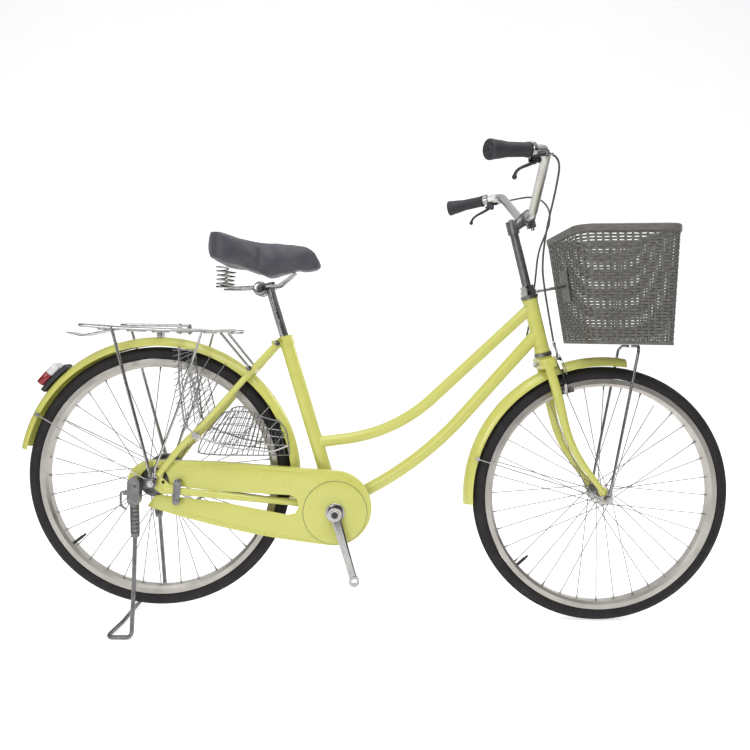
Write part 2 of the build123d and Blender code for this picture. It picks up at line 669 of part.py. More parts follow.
tail_plate = Polygon(*tail_line, *[(x, z - tail_sheet) for x, z in reversed(tail_line)], align=None)
rack += side(tail_plate, -28, 28)
guard_top = rear_z + guard_r
rack += Pos(0, 0, (guard_top + touch + cross_z) / 2) * Box(14, 22, cross_z - guard_top - touch)
save("rack_frame", rack)

stay_dia = 8.0
strut_y = -drop_out - stay_dia / 2 - touch
rear_strut = rod([(-4, strut_y, rear_z + 14), (-17, strut_y, 430),
                  (-98, -rack_half - 1.0, rack_z + 4)], stay_dia, 60)
rear_strut += strap([(rear_x, rear_z), (-4, rear_z + 18)], 7, -drop_out, -drop_out - eye)
mid_y = -drop_out - 12.5
mid_strut = rod([(5, -drop_out - 6.5, rear_z + 13), (9, mid_y, 404), (62, mid_y + 2, 545),
                 (118, -rack_half + 3, cross_z)], 6, [14, 60])
mid_strut += strap([(rear_x, rear_z), (5, rear_z + 13)], 6, -drop_out - eye,
                   -drop_out - 2 * eye)
axle_hole = disc(rear_x, rear_z, axle_dia / 2, -60, -120)
front_strut = bar((160, -rack_half + 20, cross_z), (231, -40.5, 650), 7)
front_strut -= seat_stay_tool
front_strut = front_strut.solids().sort_by(SortBy.VOLUME)[-1]
struts = []
for strut in (rear_strut, mid_strut):
    strut = strut - axle_hole - rack - dropout_solid - seat_stay_tool
    struts.append(strut.solids().sort_by(SortBy.VOLUME)[-1])
front_strut = (front_strut - rack).solids().sort_by(SortBy.VOLUME)[-1]
struts.append(front_strut)
save("rack_stays", *[p for strut in struts for p in pair(strut)])

clip = rod([(clip_hinge_x, -clip_half, clip_hinge_z), (-92, -clip_half, rack_z + 11),
            (-92, clip_half, rack_z + 11), (clip_hinge_x, clip_half, clip_hinge_z)], clip_dia, 22)
clip += bar((clip_hinge_x, -clip_half - 12, clip_hinge_z),
            (clip_hinge_x, clip_half + 12, clip_hinge_z), clip_dia)
clip += bar((-20, -clip_half, clip_hinge_z), (-20, clip_half, clip_hinge_z), clip_dia - 1)
save("rack_clip", clip)

# ---- chain case: one pressed cover over the chain, with a slot for the chain stay ----
case_face, case_sheet, case_rim = -55.0, 1.4, -38.0
case_rear, case_rear_r = (-10.0, 360.0), 57.0
case_front, case_front_r = (445.0, 302.0), 94.0


def case_outline(shrink):
    ra, fa = case_rear_r - shrink, case_front_r - shrink
    top_a, top_b = on_circle(*case_rear, ra, 88), on_circle(*case_front, fa, 92)
    low_a, low_b = on_circle(*case_front, fa, 268), on_circle(*case_rear, ra, 262)
    nose = on_circle(*case_front, fa, 0)
    tail = on_circle(*case_rear, ra, 180)
    crest = (232.0, 412.0 - shrink)
    belly = (210.0, 243.0 + shrink)
    edges = ThreePointArc(top_a, crest, top_b) + ThreePointArc(top_b, nose, low_a)
    edges += ThreePointArc(low_a, belly, low_b) + ThreePointArc(low_b, tail, top_a)
    return make_face(edges)


cover = side(case_outline(0), case_rim, case_face)
cover -= side(case_outline(case_sheet), case_rim + 5, case_face + case_sheet)
axle_opening = 36.0
cover -= disc(rear_x, rear_z, axle_opening, -30, -70)
mouth = Polygon((-8, 366), (-46, 330), (-52, 300), (-20, 300), (8, 340), align=None)
cover -= side(mouth, -30, -70)
window = Polygon((10, 333), (176, 314), (300, 291), (331, 285), (348, 289), (357, 305), (352, 325),
                 (335, 335), (150, 343), (0, 362), align=None)
cover -= side(window, -30, -70)
disc_hole = 24.0
cover -= disc(bb_x, bb_z, disc_hole, -30, -70)
disc_cover = disc(bb_x, bb_z, 79.5, case_face, case_face - 1.4, bore=disc_hole)
tool = rod(chain_stay_route, chain_stay_dia + 2 * touch, 300)
cover = (cover - tool).solids().sort_by(SortBy.VOLUME)[-1]
save("chain_case", cover, disc_cover)

# ---- small fixings on the frame ----
clamp_x, clamp_z = 58.0, 343.5
stay_y = -drop_y + (drop_y - 52) * (clamp_x - chain_stay_foot[0]) / 165
case_strap = strap([(clamp_x + 3, clamp_z + 24), (clamp_x - 1, clamp_z - 24)], 8.5,
                   stay_y - chain_stay_dia / 2 - 0.6, stay_y - chain_stay_dia / 2 - 2.6)
feet = [disc(clamp_x + s * 2 + 1, clamp_z + s * 24, 6.5, stay_y - chain_stay_dia / 2 - 0.6, case_face)
        for s in (-1, 1)]
seat_bolt = disc(ear.X, ear.Z, 3.0, -10, 12.8) + disc(ear.X, ear.Z, 6.5, -12.8, -9.1)
seat_bolt += nut(ear.X, ear.Z, 9.1, 12.8, 10)
fixings = [case_strap, *feet, seat_bolt]

# ---- cables ----
cable_r = cable_dia / 2
clip_wall = 1.5
under = lower_tube_dia / 2 + cable_r + clip_wall + 0.1
slant = 0.7071 * under
rear_route = [
    (880.7, slant, 636.7), (685.4, slant, 411.8), (500.0, slant, 304.4), (462.0, 26.0, 263.0),
    (425.0, 36.0, 262.0), (350.0, 40.0, 293.0), (190.0, 56.0, 312.0), (118.0, 60.0, 312.0),
    (70.0, 60.0, 290.0)]
rear_bends = [863, 120, 30, 45, 120, 160, 60]
rear_cable = rod(rear_route, cable_dia, rear_bends)
save("rear_brake_cable", rear_cable)
loop_route = [
    (901.5, 243.8, 1127.1), (944.0, 218.0, 1135.0), (986.0, 160.0, 1130.0), (1006.0, 100.0, 1092.0),
    (1002.0, 62.0, 1044.0), (985.0, 45.0, 1008.0), (962.0, 33.0, 955.0), (957.0, 29.0, 880.0),
    (941.0, 27.0, 745.0), (924.0, 24.0, 690.0), (881.3, slant + 0.2, 637.4)]
loop_bends = [60, 70, 60, 60, 70, 90, 160, 150, 60]
save("rear_cable_loop", rod(loop_route, cable_dia, loop_bends))
front_route = [
    (901.5, -243.8, 1127.1), (938.0, -222.0, 1132.0), (948.0, -150.0, 1068.0),
    (949.0, -90.0, 1005.0), (952.0, -46.0, 930.0), (962.0, -27.0, 868.0), (996.0, -14.0, 727.0)]
front_bends = [29, 120, 120, 120, 120]
save("front_brake_cable", rod(front_route, cable_dia, front_bends))
for name, bends in (("rear", rear_bends), ("loop", loop_bends), ("front", front_bends)):
    print(name, "cable radii", bends)

for first, second, share in ((0, 1, 0.04), (0, 1, 0.42), (1, 2, 0.74)):
    a, b = Vector(*rear_route[first]), Vector(*rear_route[second])
    middle, half = a + (b - a) * share, (b - a).normalized() * 4.5
    fixings.append(bar(middle - half, middle + half, cable_dia + 2 * clip_wall, cable_dia + 0.1))
save("frame_fasteners", *fixings)

# ---- rear band brake ----
cover_in, cover_out = drum_face + 2.0, 49.0
cover_r = drum_radius + 9
brake_cover = disc(rear_x, rear_z, cover_r, cover_in, cover_out)
brake_cover -= disc(rear_x, rear_z, drum_radius + 4, cover_in - 1, cover_out - 2)
brake_cover -= disc(rear_x, rear_z, axle_dia / 2 + 0.1, 0, 100)
arm_x, arm_z = 30.0, 320.0
brake_cover += disc(arm_x, arm_z, 4, cover_out, cover_out + 8)
save("band_brake_cover", brake_cover)
brake_arm = strap([(arm_x, arm_z), (62.0, 292.0)], 6, cover_out + 1.0, cover_out + 4.5)
brake_arm += disc(62.0, 292.0, 6, cover_out + 1.0, cover_out + 6)
brake_arm -= disc(arm_x, arm_z, 4 + running, 0, 100)
save("band_brake_arm", brake_arm)

# ---- wire guards that keep clothes out of the rear wheel ----
guard_wire, fine_wire = 4.5, 2.5


def guard_point(angle, out=0.0):
    x, z = on_circle(rear_x, rear_z, guard_edge_r, angle)
    return x, -guard_width / 2 - 2.6 - out, z


back_arm = [guard_point(81), (62, -58, 610), (80, -76, 510), (112, -76, 482)]
front_arm = [(190, -72, 455), (290, -48, 442), guard_point(15)]
guard_loop = rod([*back_arm, *front_arm], guard_wire, [40, 40, 12, 60, 30])
wires = guard_loop
for angle, foot in ((74, (64.5, -60.5, 600)), (67, (71, -68, 560)), (60, (78, -74.5, 521))):
    wires += bar(foot, guard_point(angle), fine_wire)
for angle, foot in ((34, (192, -71.5, 455)), (27, (238, -60.5, 449)), (21, (285, -49.2, 443))):
    wires += bar(foot, guard_point(angle), fine_wire)
wires -= seat_stay_tool
stay_clip = Pos(106, -70.4, 484) * Rot(0, -50, 0) * Box(16, 9, 14) - seat_stay_tool - guard_loop
save("dress_guards", *pair(wires), *pair(stay_clip.solids().sort_by(SortBy.VOLUME)[-1]))

# ---- stem and handlebar ----
stem_top = 326.0
boss_top = stem_top + 17.0
clamp_u, clamp_w = in_steer(923.0, 1038.6)
stem = bar(steer(0, 0, 40), steer(0, 0, stem_top + 12), quill_dia)
stem += bar(steer(clamp_u, -19, clamp_w), steer(clamp_u, 19, clamp_w), bar_clamp_dia + 10)
stem += bar(steer(0, 0, stem_top), steer(clamp_u, 0, clamp_w), 27)
stem += bar(steer(0, 0, stem_top - 16), steer(0, 0, boss_top), 30)
pinch_lug = steer(clamp_u + 6, 0, clamp_w - 20)
stem += Pos(*pinch_lug) * Rot(0, -15, 0) * Box(20, 16, 16)
stem -= bar(steer(clamp_u, -40, clamp_w), steer(clamp_u, 40, clamp_w), bar_clamp_dia)
save("stem", stem)

bar_right = [(770.0, -289.0, 1120.0), (906.0, -224.0, 1141.0), (923.0, -52.0, 1038.6)]
bar_route = bar_right + [(x, -y, z) for x, y, z in reversed(bar_right)]
handlebar = rod(bar_route, bar_dia, [28, 48, 48, 28])
handlebar += bar((923.0, -28, 1038.6), (923.0, 28, 1038.6), bar_clamp_dia)
save("handlebar", handlebar)

bend_point, grip_tip = Vector(*bar_right[1]), Vector(*bar_right[0])
along = (grip_tip - bend_point).normalized()
grip_cap = 8.0
grip_start = grip_tip - along * (grip_length - grip_cap)
grip_plane = Plane(origin=grip_start, x_dir=(0, 0, 1), z_dir=along)
sections = [(0, 16.5), (8, 15.0), (50, 15.5), (82, 19.0), (grip_length - 4, 22.0),
            (grip_length, 19.0)]
grip = loft([grip_plane * Pos(0, 0, d) * Circle(r) for d, r in sections], ruled=True)
grip -= bar(grip_start - along * 20, grip_tip, bar_dia)
save("grips", *pair(grip))

# ---- brake levers ----
down = (Vector(0, 0, -1) - along * Vector(0, 0, -1).dot(along)).normalized()
lever_side = along.cross(down)


def by_grip(along_mm, down_mm, side_mm=0.0):
    return grip_start + along * along_mm + down * down_mm + lever_side * side_mm


pivot_along, pivot_down = -22.0, 22.0
cheek = 5.5
bracket = bar(by_grip(-15, 0), by_grip(-3, 0), bar_dia + 9)
for s in (-1, 1):
    bracket += bar(by_grip(pivot_along, pivot_down, s * (cheek + 2.5)),
                   by_grip(pivot_along, pivot_down, s * cheek), 14)
    web = Plane(origin=by_grip(-15, 16, s * (cheek + 1.25)), x_dir=along, z_dir=lever_side)
    bracket += extrude(web * Rectangle(18, 16), amount=1.25, both=True)
bracket += bar(by_grip(pivot_along, pivot_down, -8), by_grip(pivot_along, pivot_down, 8), 5)
bracket += bar(by_grip(-8, 13, 5), by_grip(-40, 12, 16), 8.5)
bracket -= bar(by_grip(-40, 0), by_grip(30, 0), bar_dia)
lever = rod([by_grip(pivot_along, pivot_down), by_grip(0, 31), by_grip(24, 39), by_grip(42, 56)], 9,
            [30, 20])
lever += bar(by_grip(pivot_along, pivot_down, -cheek + 0.4),
             by_grip(pivot_along, pivot_down, cheek - 0.4), 9)
lever -= bar(by_grip(pivot_along, pivot_down, -9), by_grip(pivot_along, pivot_down, 9),
             5 + 2 * running)
save("brake_lever_brackets", *pair(bracket))
save("brake_lever_right", lever)
save("brake_lever_left", mirror(lever, about=Plane.XZ))
lever_pivot = by_grip(pivot_along, pivot_down)
print("right lever pivot", lever_pivot.X - origin_x, lever_pivot.Y, lever_pivot.Z)
print("right lever axis", lever_side)

# ---- front caliper brake ----
arm_thick = 6.0
arm_u = 24.0
bolt_end = arm_u + 2 * arm_thick + 6
brake_bolt = bar(steer(-30, 0, brake_w), steer(bolt_end, 0, brake_w), 6)
brake_bolt += bar(steer(-30, 0, brake_w), steer(-22, 0, brake_w), 11)
brake_bolt += bar(steer(bolt_end - 5, 0, brake_w), steer(bolt_end, 0, brake_w), 11)
stem_bolt = bar(steer(0, 0, boss_top), steer(0, 0, boss_top + 5), 11)
pinch_bolt = bar(steer(clamp_u + 8, 0, clamp_w - 35), steer(clamp_u + 8, 0, clamp_w - 29), 10)
save("steering_fasteners", head_nuts, brake_bolt, stem_bolt, pinch_bolt)


def brake_arm_piece(hand, u):
    # a bowed arm from the centre bolt round the mudguard to its pad beside the rim
    points = [(0, brake_w), (hand * 22, brake_w - 3), (hand * 35, brake_w - 24),
              (hand * 35, brake_w - 62), (hand * 27, brake_w - 82)]
    plane = Plane(origin=steer(u, 0, 0), x_dir=(0, 1, 0), z_dir=(ahead[0], 0, ahead[1]))
    outline = Pos(*points[0]) * Circle(8)
    for a, b in zip(points, points[1:]):
        length, turn = hypot(b[0] - a[0], b[1] - a[1]), degrees(atan2(b[1] - a[1], b[0] - a[0]))
        middle = ((a[0] + b[0]) / 2, (a[1] + b[1]) / 2)
        outline += Pos(*middle) * Rot(0, 0, turn) * Rectangle(length, 9)
        outline += Pos(*b) * Circle(4.5)
    arm = extrude(plane * outline, amount=arm_thick)
    return arm - bar(steer(-60, 0, brake_w), steer(90, 0, brake_w), 6 + 2 * running)


pad_gap = 2.2
pad_face = rim_width / 2 + pad_gap


def pad(hand, u):
    block = Plane(origin=steer(u + arm_thick / 2 + 2, hand * (pad_face + 4.5), brake_w - 83),
                  x_dir=(ahead[0], 0, ahead[1]), z_dir=(up[0], 0, up[1]))
    return extrude(block * RectangleRounded(42, 9, 3), amount=5, both=True)


arm_right = brake_arm_piece(-1, arm_u) + pad(-1, arm_u)
arm_left = brake_arm_piece(1, arm_u + arm_thick + 0.4) + pad(1, arm_u)
save("brake_arm_right", arm_right)
save("brake_arm_left", arm_left)

# ---- basket ----
basket_wall = 3.0
basket_low = Plane(origin=(1161.0, 0, 722.0), x_dir=(1, 0, 0), z_dir=(0, 0, 1))
basket_tilt = radians(1.6)
basket_top = Plane(origin=(1136.0, 0, 1005.0), x_dir=(cos(basket_tilt), 0, sin(basket_tilt)),
                   z_dir=(-sin(basket_tilt), 0, cos(basket_tilt)))
low_size, top_size, basket_corner = (210.0, 250.0), (261.0, 275.0), 42.0


def basket_form(inset, lift):
    low = RectangleRounded(low_size[0] - inset, low_size[1] - inset, basket_corner - inset / 2)
    top = RectangleRounded(top_size[0] - inset, top_size[1] - inset, basket_corner - inset / 2)
    return loft([basket_low * Pos(0, 0, lift) * low, basket_top * Pos(0, 0, 2 * lift) * top],
                ruled=True)


outer_form, inner_form = basket_form(0, 0), basket_form(2 * basket_wall, basket_wall)
rim_band, rim_grow = 17.0, 5.0
band = extrude(basket_top * Pos(0, 0, -rim_band)
               * RectangleRounded(top_size[0] + rim_grow, top_size[1] + rim_grow,
                                  basket_corner + rim_grow / 2), amount=rim_band)
basket = (outer_form + band) - inner_form
save("basket", basket.solids().sort_by(SortBy.VOLUME)[-1])

legs = []
for hand in (-1, 1):
    eye_edge = tab_in + 5 + stay_eye
    stay = rod([(front_x + 3, hand * (eye_edge + 2.6), front_z + 14),
                (front_x + 8, hand * 62.0, front_z + 45),
                (1194.0, hand * 62.0, 706.0), (1199.0, hand * 50.0, 718.0 - touch),
                (1199.0, hand * 12.0, 718.0 - touch)], 7, [40, 9, 4])
    ring = strap([(front_x, front_z), (front_x + 3, front_z + 16)], 7, hand * eye_edge,
                 hand * (eye_edge + stay_eye))
    legs.append(stay + ring - disc(front_x, front_z, axle_dia / 2, -90, 90))
rear_face_x, face_slope = 1029.6, 10.25
link = bar(steer(17, 0, nut_foot + 5), (rear_face_x - 4, 0, 868), 8)
plate = Pos(rear_face_x - 3.4, 0, 868) * Rot(0, -face_slope, 0) * Box(2.5, 52, 80)
save("basket_stays", *legs, link + plate - outer_form - stack((42.2, 0, 400)))

# ---- seat post, clamp, springs and saddle ----
post_top = seat_tube_length + seatpost_show
neck_dia = 22.2
post = bar(seat_axis(seat_tube_length - 130), seat_axis(post_top), seatpost_dia)
post += bar(seat_axis(post_top), seat_axis(post_top + 22), neck_dia)
save("seatpost", post)
clamp_centre = seat_axis(post_top + 12, back=22)
neck = bar(seat_axis(post_top - 40), seat_axis(post_top + 30), neck_dia)
clamp = bar(seat_axis(post_top + 0.2), seat_axis(post_top + 22), 30)
clamp += disc(clamp_centre[0], clamp_centre[2], 18, -24, 24)
clamp = clamp - neck - bar(seat_axis(post_top - 60), seat_axis(post_top + 0.1), 60)
washers = pair(disc(clamp_centre[0], clamp_centre[2], 16, 31.1, 34.5))
spring_x, spring_y, spring_low, spring_high = 165.0, 45.0, 846.0, 899.0
rail_dia = 7.0
rail = rod([(340, 10, 889), (300, 27.55, 856), (200, 27.55, 848), (spring_x, spring_y, 849)],
           rail_dia, [18, 30])
base = bar((spring_x, spring_y, spring_low), (spring_x, spring_y, spring_low + 6), 34)
spring = base + bar((spring_x, spring_y, spring_low + 6), (spring_x, spring_y, spring_high), 34, 24)
seat_metal = [clamp, *washers, *pair(rail - base), *pair(spring)]
save("saddle_frame", *seat_metal)

saddle_side = Spline((122, 940), (127, 978), (160, 981), (205, 968), (255, 964), (309, 965),
                     (355, 953), (392, 934), (403, 912))
saddle_side += Polyline((403, 912), (398, 899), (345, 893.5), (300, 880), (262, 876), (205, 900),
                        (133, 904), (122, 940))
saddle_plan = Spline((122, 0), (124, -60), (150, -98), (195, -95), (240, -62), (290, -38),
                     (345, -28), (390, -22), (403, 0))
saddle_plan += Spline((403, 0), (390, 22), (345, 28), (290, 38), (240, 62), (195, 95), (150, 98),
                      (124, 60), (122, 0))
saddle = side(make_face(saddle_side), -120, 120)
saddle = saddle & extrude(make_face(saddle_plan), amount=1100)
for piece in seat_metal:
    saddle -= piece
save("saddle", saddle.solids().sort_by(SortBy.VOLUME)[-1])
print("moved by", -origin_x)
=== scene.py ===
import math

import bmesh
import bpy
from mathutils import Matrix, Vector


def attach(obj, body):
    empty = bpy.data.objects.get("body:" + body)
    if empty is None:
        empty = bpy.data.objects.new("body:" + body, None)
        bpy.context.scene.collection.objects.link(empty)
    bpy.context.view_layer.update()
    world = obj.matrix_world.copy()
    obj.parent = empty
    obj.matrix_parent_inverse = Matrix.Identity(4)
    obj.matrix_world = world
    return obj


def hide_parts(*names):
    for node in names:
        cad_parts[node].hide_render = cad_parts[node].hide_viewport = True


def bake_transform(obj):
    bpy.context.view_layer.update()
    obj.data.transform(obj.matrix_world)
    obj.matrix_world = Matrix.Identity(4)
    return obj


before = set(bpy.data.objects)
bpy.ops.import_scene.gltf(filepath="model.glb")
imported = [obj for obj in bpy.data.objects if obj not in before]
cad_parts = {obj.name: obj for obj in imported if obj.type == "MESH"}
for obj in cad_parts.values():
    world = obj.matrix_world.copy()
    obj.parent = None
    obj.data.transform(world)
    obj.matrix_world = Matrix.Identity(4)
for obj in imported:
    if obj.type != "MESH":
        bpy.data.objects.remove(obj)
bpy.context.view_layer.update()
scene = bpy.context.scene
print("frame loaded,", len(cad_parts), "nodes")


def placed(name, data):
    item = bpy.data.objects.new(name, data)
    scene.collection.objects.link(item)
    return item


def meshFrom(bm, name):
    mesh = bpy.data.meshes.new(name)
    bm.to_mesh(mesh)
    bm.free()
    return mesh


def smoothed(mesh, crease=None):
    # smooth faces; edges past the crease angle stay sharp
    for face in mesh.polygons:
        face.use_smooth = True
    if crease:
        mesh.set_sharp_from_angle(angle=math.radians(crease))


# camera: a little behind the middle of the bicycle, on its right side
cameraSet = {
    "place": (-0.0481, -1.5966, 0.7238),
    "forward": (0.0212, 0.9982, -0.0559),
    "right": (0.9997, -0.0204, 0.0152),
    "lens": 30.0,
}
cameraData = bpy.data.cameras.new("sideCamera")
cameraData.lens = cameraSet["lens"]
cameraData.sensor_width = 36.0
camera = placed("sideCamera", cameraData)
ahead = Vector(cameraSet["forward"]).normalized()
across = Vector(cameraSet["right"])
across = (across - ahead * across.dot(ahead)).normalized()
turned = Matrix((across, across.cross(ahead), -ahead)).transposed()
camera.matrix_world = Matrix.Translation(cameraSet["place"]) @ turned.to_4x4()
scene.camera = camera

# soft studio: pale sweep, broad lights
studio = {
    "skyTone": (0.93, 0.94, 0.96, 1.0),
    "skyPower": 0.50,
    "seenTone": (1.9, 1.9, 1.92, 1.0),
    "floorGlow": (0.32, 0.62),
    "lights": (
        ("topLight", (0.2, -0.9, 2.9), (0.0, 0.0, 0.5), 2.2, 40.0),
        ("frontLight", (-1.6, -2.8, 1.5), (0.0, 0.0, 0.5), 1.2, 22.0),
        ("edgeLight", (2.1, 1.5, 1.9), (0.0, 0.0, 0.6), 1.2, 20.0),
    ),
}
world = bpy.data.worlds.new("paleSky")
world.use_nodes = True
scene.world = world
skyNodes, skyLinks = world.node_tree.nodes, world.node_tree.links
skyShade = skyNodes["Background"]
skyShade.inputs["Strength"].default_value = studio["skyPower"]
skyPlace = skyNodes.new("ShaderNodeTexCoord")
skySplit = skyNodes.new("ShaderNodeSeparateXYZ")
skyRamp = skyNodes.new("ShaderNodeValToRGB")
skyRamp.color_ramp.elements[0].position = 0.08
skyRamp.color_ramp.elements[0].color = (0.05, 0.05, 0.055, 1.0)
skyRamp.color_ramp.elements[1].position = 0.50
skyRamp.color_ramp.elements[1].color = studio["skyTone"]
skyLinks.new(skyPlace.outputs["Generated"], skySplit.inputs["Vector"])
skyLinks.new(skySplit.outputs["Z"], skyRamp.inputs["Fac"])
skySeen = skyNodes.new("ShaderNodeLightPath")
skyMix = skyNodes.new("ShaderNodeMixRGB")
skyMix.inputs["Color2"].default_value = studio["seenTone"]
skyLinks.new(skySeen.outputs["Is Camera Ray"], skyMix.inputs["Fac"])
skyLinks.new(skyRamp.outputs["Color"], skyMix.inputs["Color1"])
skyLinks.new(skyMix.outputs["Color"], skyShade.inputs["Color"])
for name, place, target, size, power in studio["lights"]:
    lightData = bpy.data.lights.new(name, "AREA")
    lightData.shape = "SQUARE"
    lightData.size = size
    lightData.energy = power
    light = placed(name, lightData)
    light.location = place
    light.rotation_euler = (Vector(target) - Vector(place)).to_track_quat("-Z", "Y").to_euler()
scene.view_settings.view_transform = "Standard"
print("camera and lights placed")


# finishes
def makeFinish(name, look):
    # mottled colour, uneven gloss and a fine grain in the surface
    finish = bpy.data.materials.new(name)
    finish.use_nodes = True
    nodes, links = finish.node_tree.nodes, finish.node_tree.links
    shader = nodes["Principled BSDF"]
    for socket, value in look.get("fixed", {}).items():
        shader.inputs[socket].default_value = value
    where = nodes.new("ShaderNodeTexCoord")
    stretch = nodes.new("ShaderNodeMapping")
    stretch.inputs["Scale"].default_value = look.get("stretch", (1.0, 1.0, 1.0))
    links.new(where.outputs["Object"], stretch.inputs["Vector"])
    cloud = nodes.new("ShaderNodeTexNoise")
    cloud.inputs["Scale"].default_value = look["cloudScale"]
    cloud.inputs["Detail"].default_value = 5.0
    cloud.inputs["Roughness"].default_value = 0.6
    links.new(stretch.outputs["Vector"], cloud.inputs["Vector"])
    tint = nodes.new("ShaderNodeValToRGB")
    tones = look["tones"]
    tint.color_ramp.elements[0].position = 0.3
    tint.color_ramp.elements[0].color = (*tones[0], 1.0)
    tint.color_ramp.elements[1].position = 0.7
    tint.color_ramp.elements[1].color = (*tones[1], 1.0)
    links.new(cloud.outputs["Fac"], tint.inputs["Fac"])
    links.new(tint.outputs["Color"], shader.inputs["Base Color"])
    gloss = nodes.new("ShaderNodeMapRange")
    gloss.inputs["From Min"].default_value = 0.3
    gloss.inputs["From Max"].default_value = 0.7
    gloss.inputs["To Min"].default_value = look["rough"][0]
    gloss.inputs["To Max"].default_value = look["rough"][1]
    smudge = nodes.new("ShaderNodeTexNoise")
    smudge.inputs["Scale"].default_value = look["cloudScale"] * 3.1
    smudge.inputs["Detail"].default_value = 3.0
    links.new(stretch.outputs["Vector"], smudge.inputs["Vector"])
    links.new(smudge.outputs["Fac"], gloss.inputs["Value"])
    links.new(gloss.outputs["Result"], shader.inputs["Roughness"])
    if look.get("grain") == "pebble":
        grain = nodes.new("ShaderNodeTexVoronoi")
        grainOut = grain.outputs["Distance"]
    else:
        grain = nodes.new("ShaderNodeTexNoise")
        grain.inputs["Detail"].default_value = 2.0
        grainOut = grain.outputs["Fac"]
    grain.inputs["Scale"].default_value = look["grainScale"]
    links.new(stretch.outputs["Vector"], grain.inputs["Vector"])
    bump = nodes.new("ShaderNodeBump")
    bump.inputs["Strength"].default_value = look["grainDepth"]
    bump.inputs["Distance"].default_value = 0.0005
    links.new(grainOut, bump.inputs["Height"])
    links.new(bump.outputs["Normal"], shader.inputs["Normal"])
    return finish


metal = {"Metallic": 1.0, "Specular IOR Level": 0.5}
looks = {
    "lemonEnamel": {
        "tones": ((0.660, 0.655, 0.150), (0.705, 0.700, 0.178)), "cloudScale": 9.0,
        "rough": (0.26, 0.38), "grainScale": 900.0, "grainDepth": 0.05,
        "fixed": {"Coat Weight": 0.55, "Coat Roughness": 0.12}},
    "brightChrome": {
        "tones": ((0.42, 0.415, 0.41), (0.57, 0.56, 0.55)), "cloudScale": 30.0,
        "rough": (0.10, 0.24), "grainScale": 1500.0, "grainDepth": 0.05, "fixed": metal},
    "darkChrome": {
        "tones": ((0.25, 0.25, 0.26), (0.36, 0.36, 0.37)), "cloudScale": 40.0,
        "rough": (0.12, 0.26), "grainScale": 1500.0, "grainDepth": 0.04, "fixed": metal},
    "satinSteel": {
        "tones": ((0.62, 0.61, 0.59), (0.78, 0.77, 0.75)), "cloudScale": 26.0,
        "rough": (0.28, 0.40), "grainScale": 2200.0, "grainDepth": 0.10,
        "stretch": (1.0, 0.25, 1.0), "fixed": metal},
    "castSteel": {
        "tones": ((0.17, 0.17, 0.175), (0.31, 0.31, 0.31)), "cloudScale": 60.0,
        "rough": (0.28, 0.46), "grainScale": 900.0, "grainDepth": 0.30, "fixed": metal},
    "castAlloy": {
        "tones": ((0.17, 0.17, 0.17), (0.27, 0.27, 0.265)), "cloudScale": 55.0,
        "rough": (0.34, 0.48), "grainScale": 1200.0, "grainDepth": 0.22, "fixed": metal},
    "rimAlloy": {
        "tones": ((0.46, 0.43, 0.395), (0.58, 0.55, 0.51)), "cloudScale": 14.0,
        "rough": (0.28, 0.42), "grainScale": 2600.0, "grainDepth": 0.10, "fixed": metal},
    "spokeSteel": {
        "tones": ((0.20, 0.195, 0.19), (0.34, 0.33, 0.32)), "cloudScale": 18.0,
        "rough": (0.22, 0.34), "grainScale": 1800.0, "grainDepth": 0.05, "fixed": metal},
    "tyreRubber": {
        "tones": ((0.014, 0.012, 0.013), (0.026, 0.023, 0.024)), "cloudScale": 22.0,
        "rough": (0.58, 0.76), "grainScale": 1600.0, "grainDepth": 0.35,
        "fixed": {"Specular IOR Level": 0.35}},
    "gripRubber": {
        "tones": ((0.026, 0.027, 0.032), (0.044, 0.045, 0.052)), "cloudScale": 60.0,
        "rough": (0.48, 0.62), "grainScale": 2200.0, "grainDepth": 0.35, "fixed": {}},
    "blackPlastic": {
        "tones": ((0.020, 0.020, 0.022), (0.034, 0.034, 0.037)), "cloudScale": 50.0,
        "rough": (0.34, 0.48), "grainScale": 1500.0, "grainDepth": 0.15, "fixed": {}},
    "cableCover": {
        "tones": ((0.055, 0.055, 0.056), (0.085, 0.085, 0.086)), "cloudScale": 40.0,
        "rough": (0.30, 0.42), "grainScale": 1800.0, "grainDepth": 0.06, "fixed": {}},
    "basketPlastic": {
        "tones": ((0.120, 0.115, 0.105), (0.205, 0.197, 0.180)), "cloudScale": 45.0,
        "rough": (0.46, 0.62), "grainScale": 700.0, "grainDepth": 0.35,
        "stretch": (1.0, 1.0, 5.0), "fixed": {}},
    "saddleVinyl": {
        "tones": ((0.052, 0.053, 0.066), (0.074, 0.075, 0.090)), "cloudScale": 24.0,
        "rough": (0.40, 0.54), "grain": "pebble", "grainScale": 900.0, "grainDepth": 0.30,
        "fixed": {"Sheen Weight": 0.25, "Sheen Roughness": 0.5}},
    "redLens": {
        "tones": ((0.24, 0.008, 0.010), (0.33, 0.014, 0.016)), "cloudScale": 60.0,
        "rough": (0.08, 0.16), "grain": "pebble", "grainScale": 420.0, "grainDepth": 0.55,
        "fixed": {"Coat Weight": 0.6}},
    "whiteLens": {
        "tones": ((0.74, 0.74, 0.74), (0.84, 0.84, 0.84)), "cloudScale": 60.0,
        "rough": (0.08, 0.16), "grain": "pebble", "grainScale": 420.0, "grainDepth": 0.45,
        "fixed": {"Coat Weight": 0.6}},
    "paleFloor": {
        "tones": ((0.84, 0.84, 0.84), (0.88, 0.88, 0.88)), "cloudScale": 1.5,
        "rough": (0.75, 0.85), "grainScale": 60.0, "grainDepth": 0.02,
        "fixed": {"Emission Color": (1.0, 1.0, 1.0, 1.0), "Emission Strength": studio["floorGlow"][0]}},
}
finishes = {name: makeFinish(name, look) for name, look in looks.items()}
floorTree = finishes["paleFloor"].node_tree
floorSeen = floorTree.nodes.new("ShaderNodeLightPath")
floorGlow = floorTree.nodes.new("ShaderNodeMapRange")
floorGlow.inputs["To Min"].default_value = studio["floorGlow"][0]
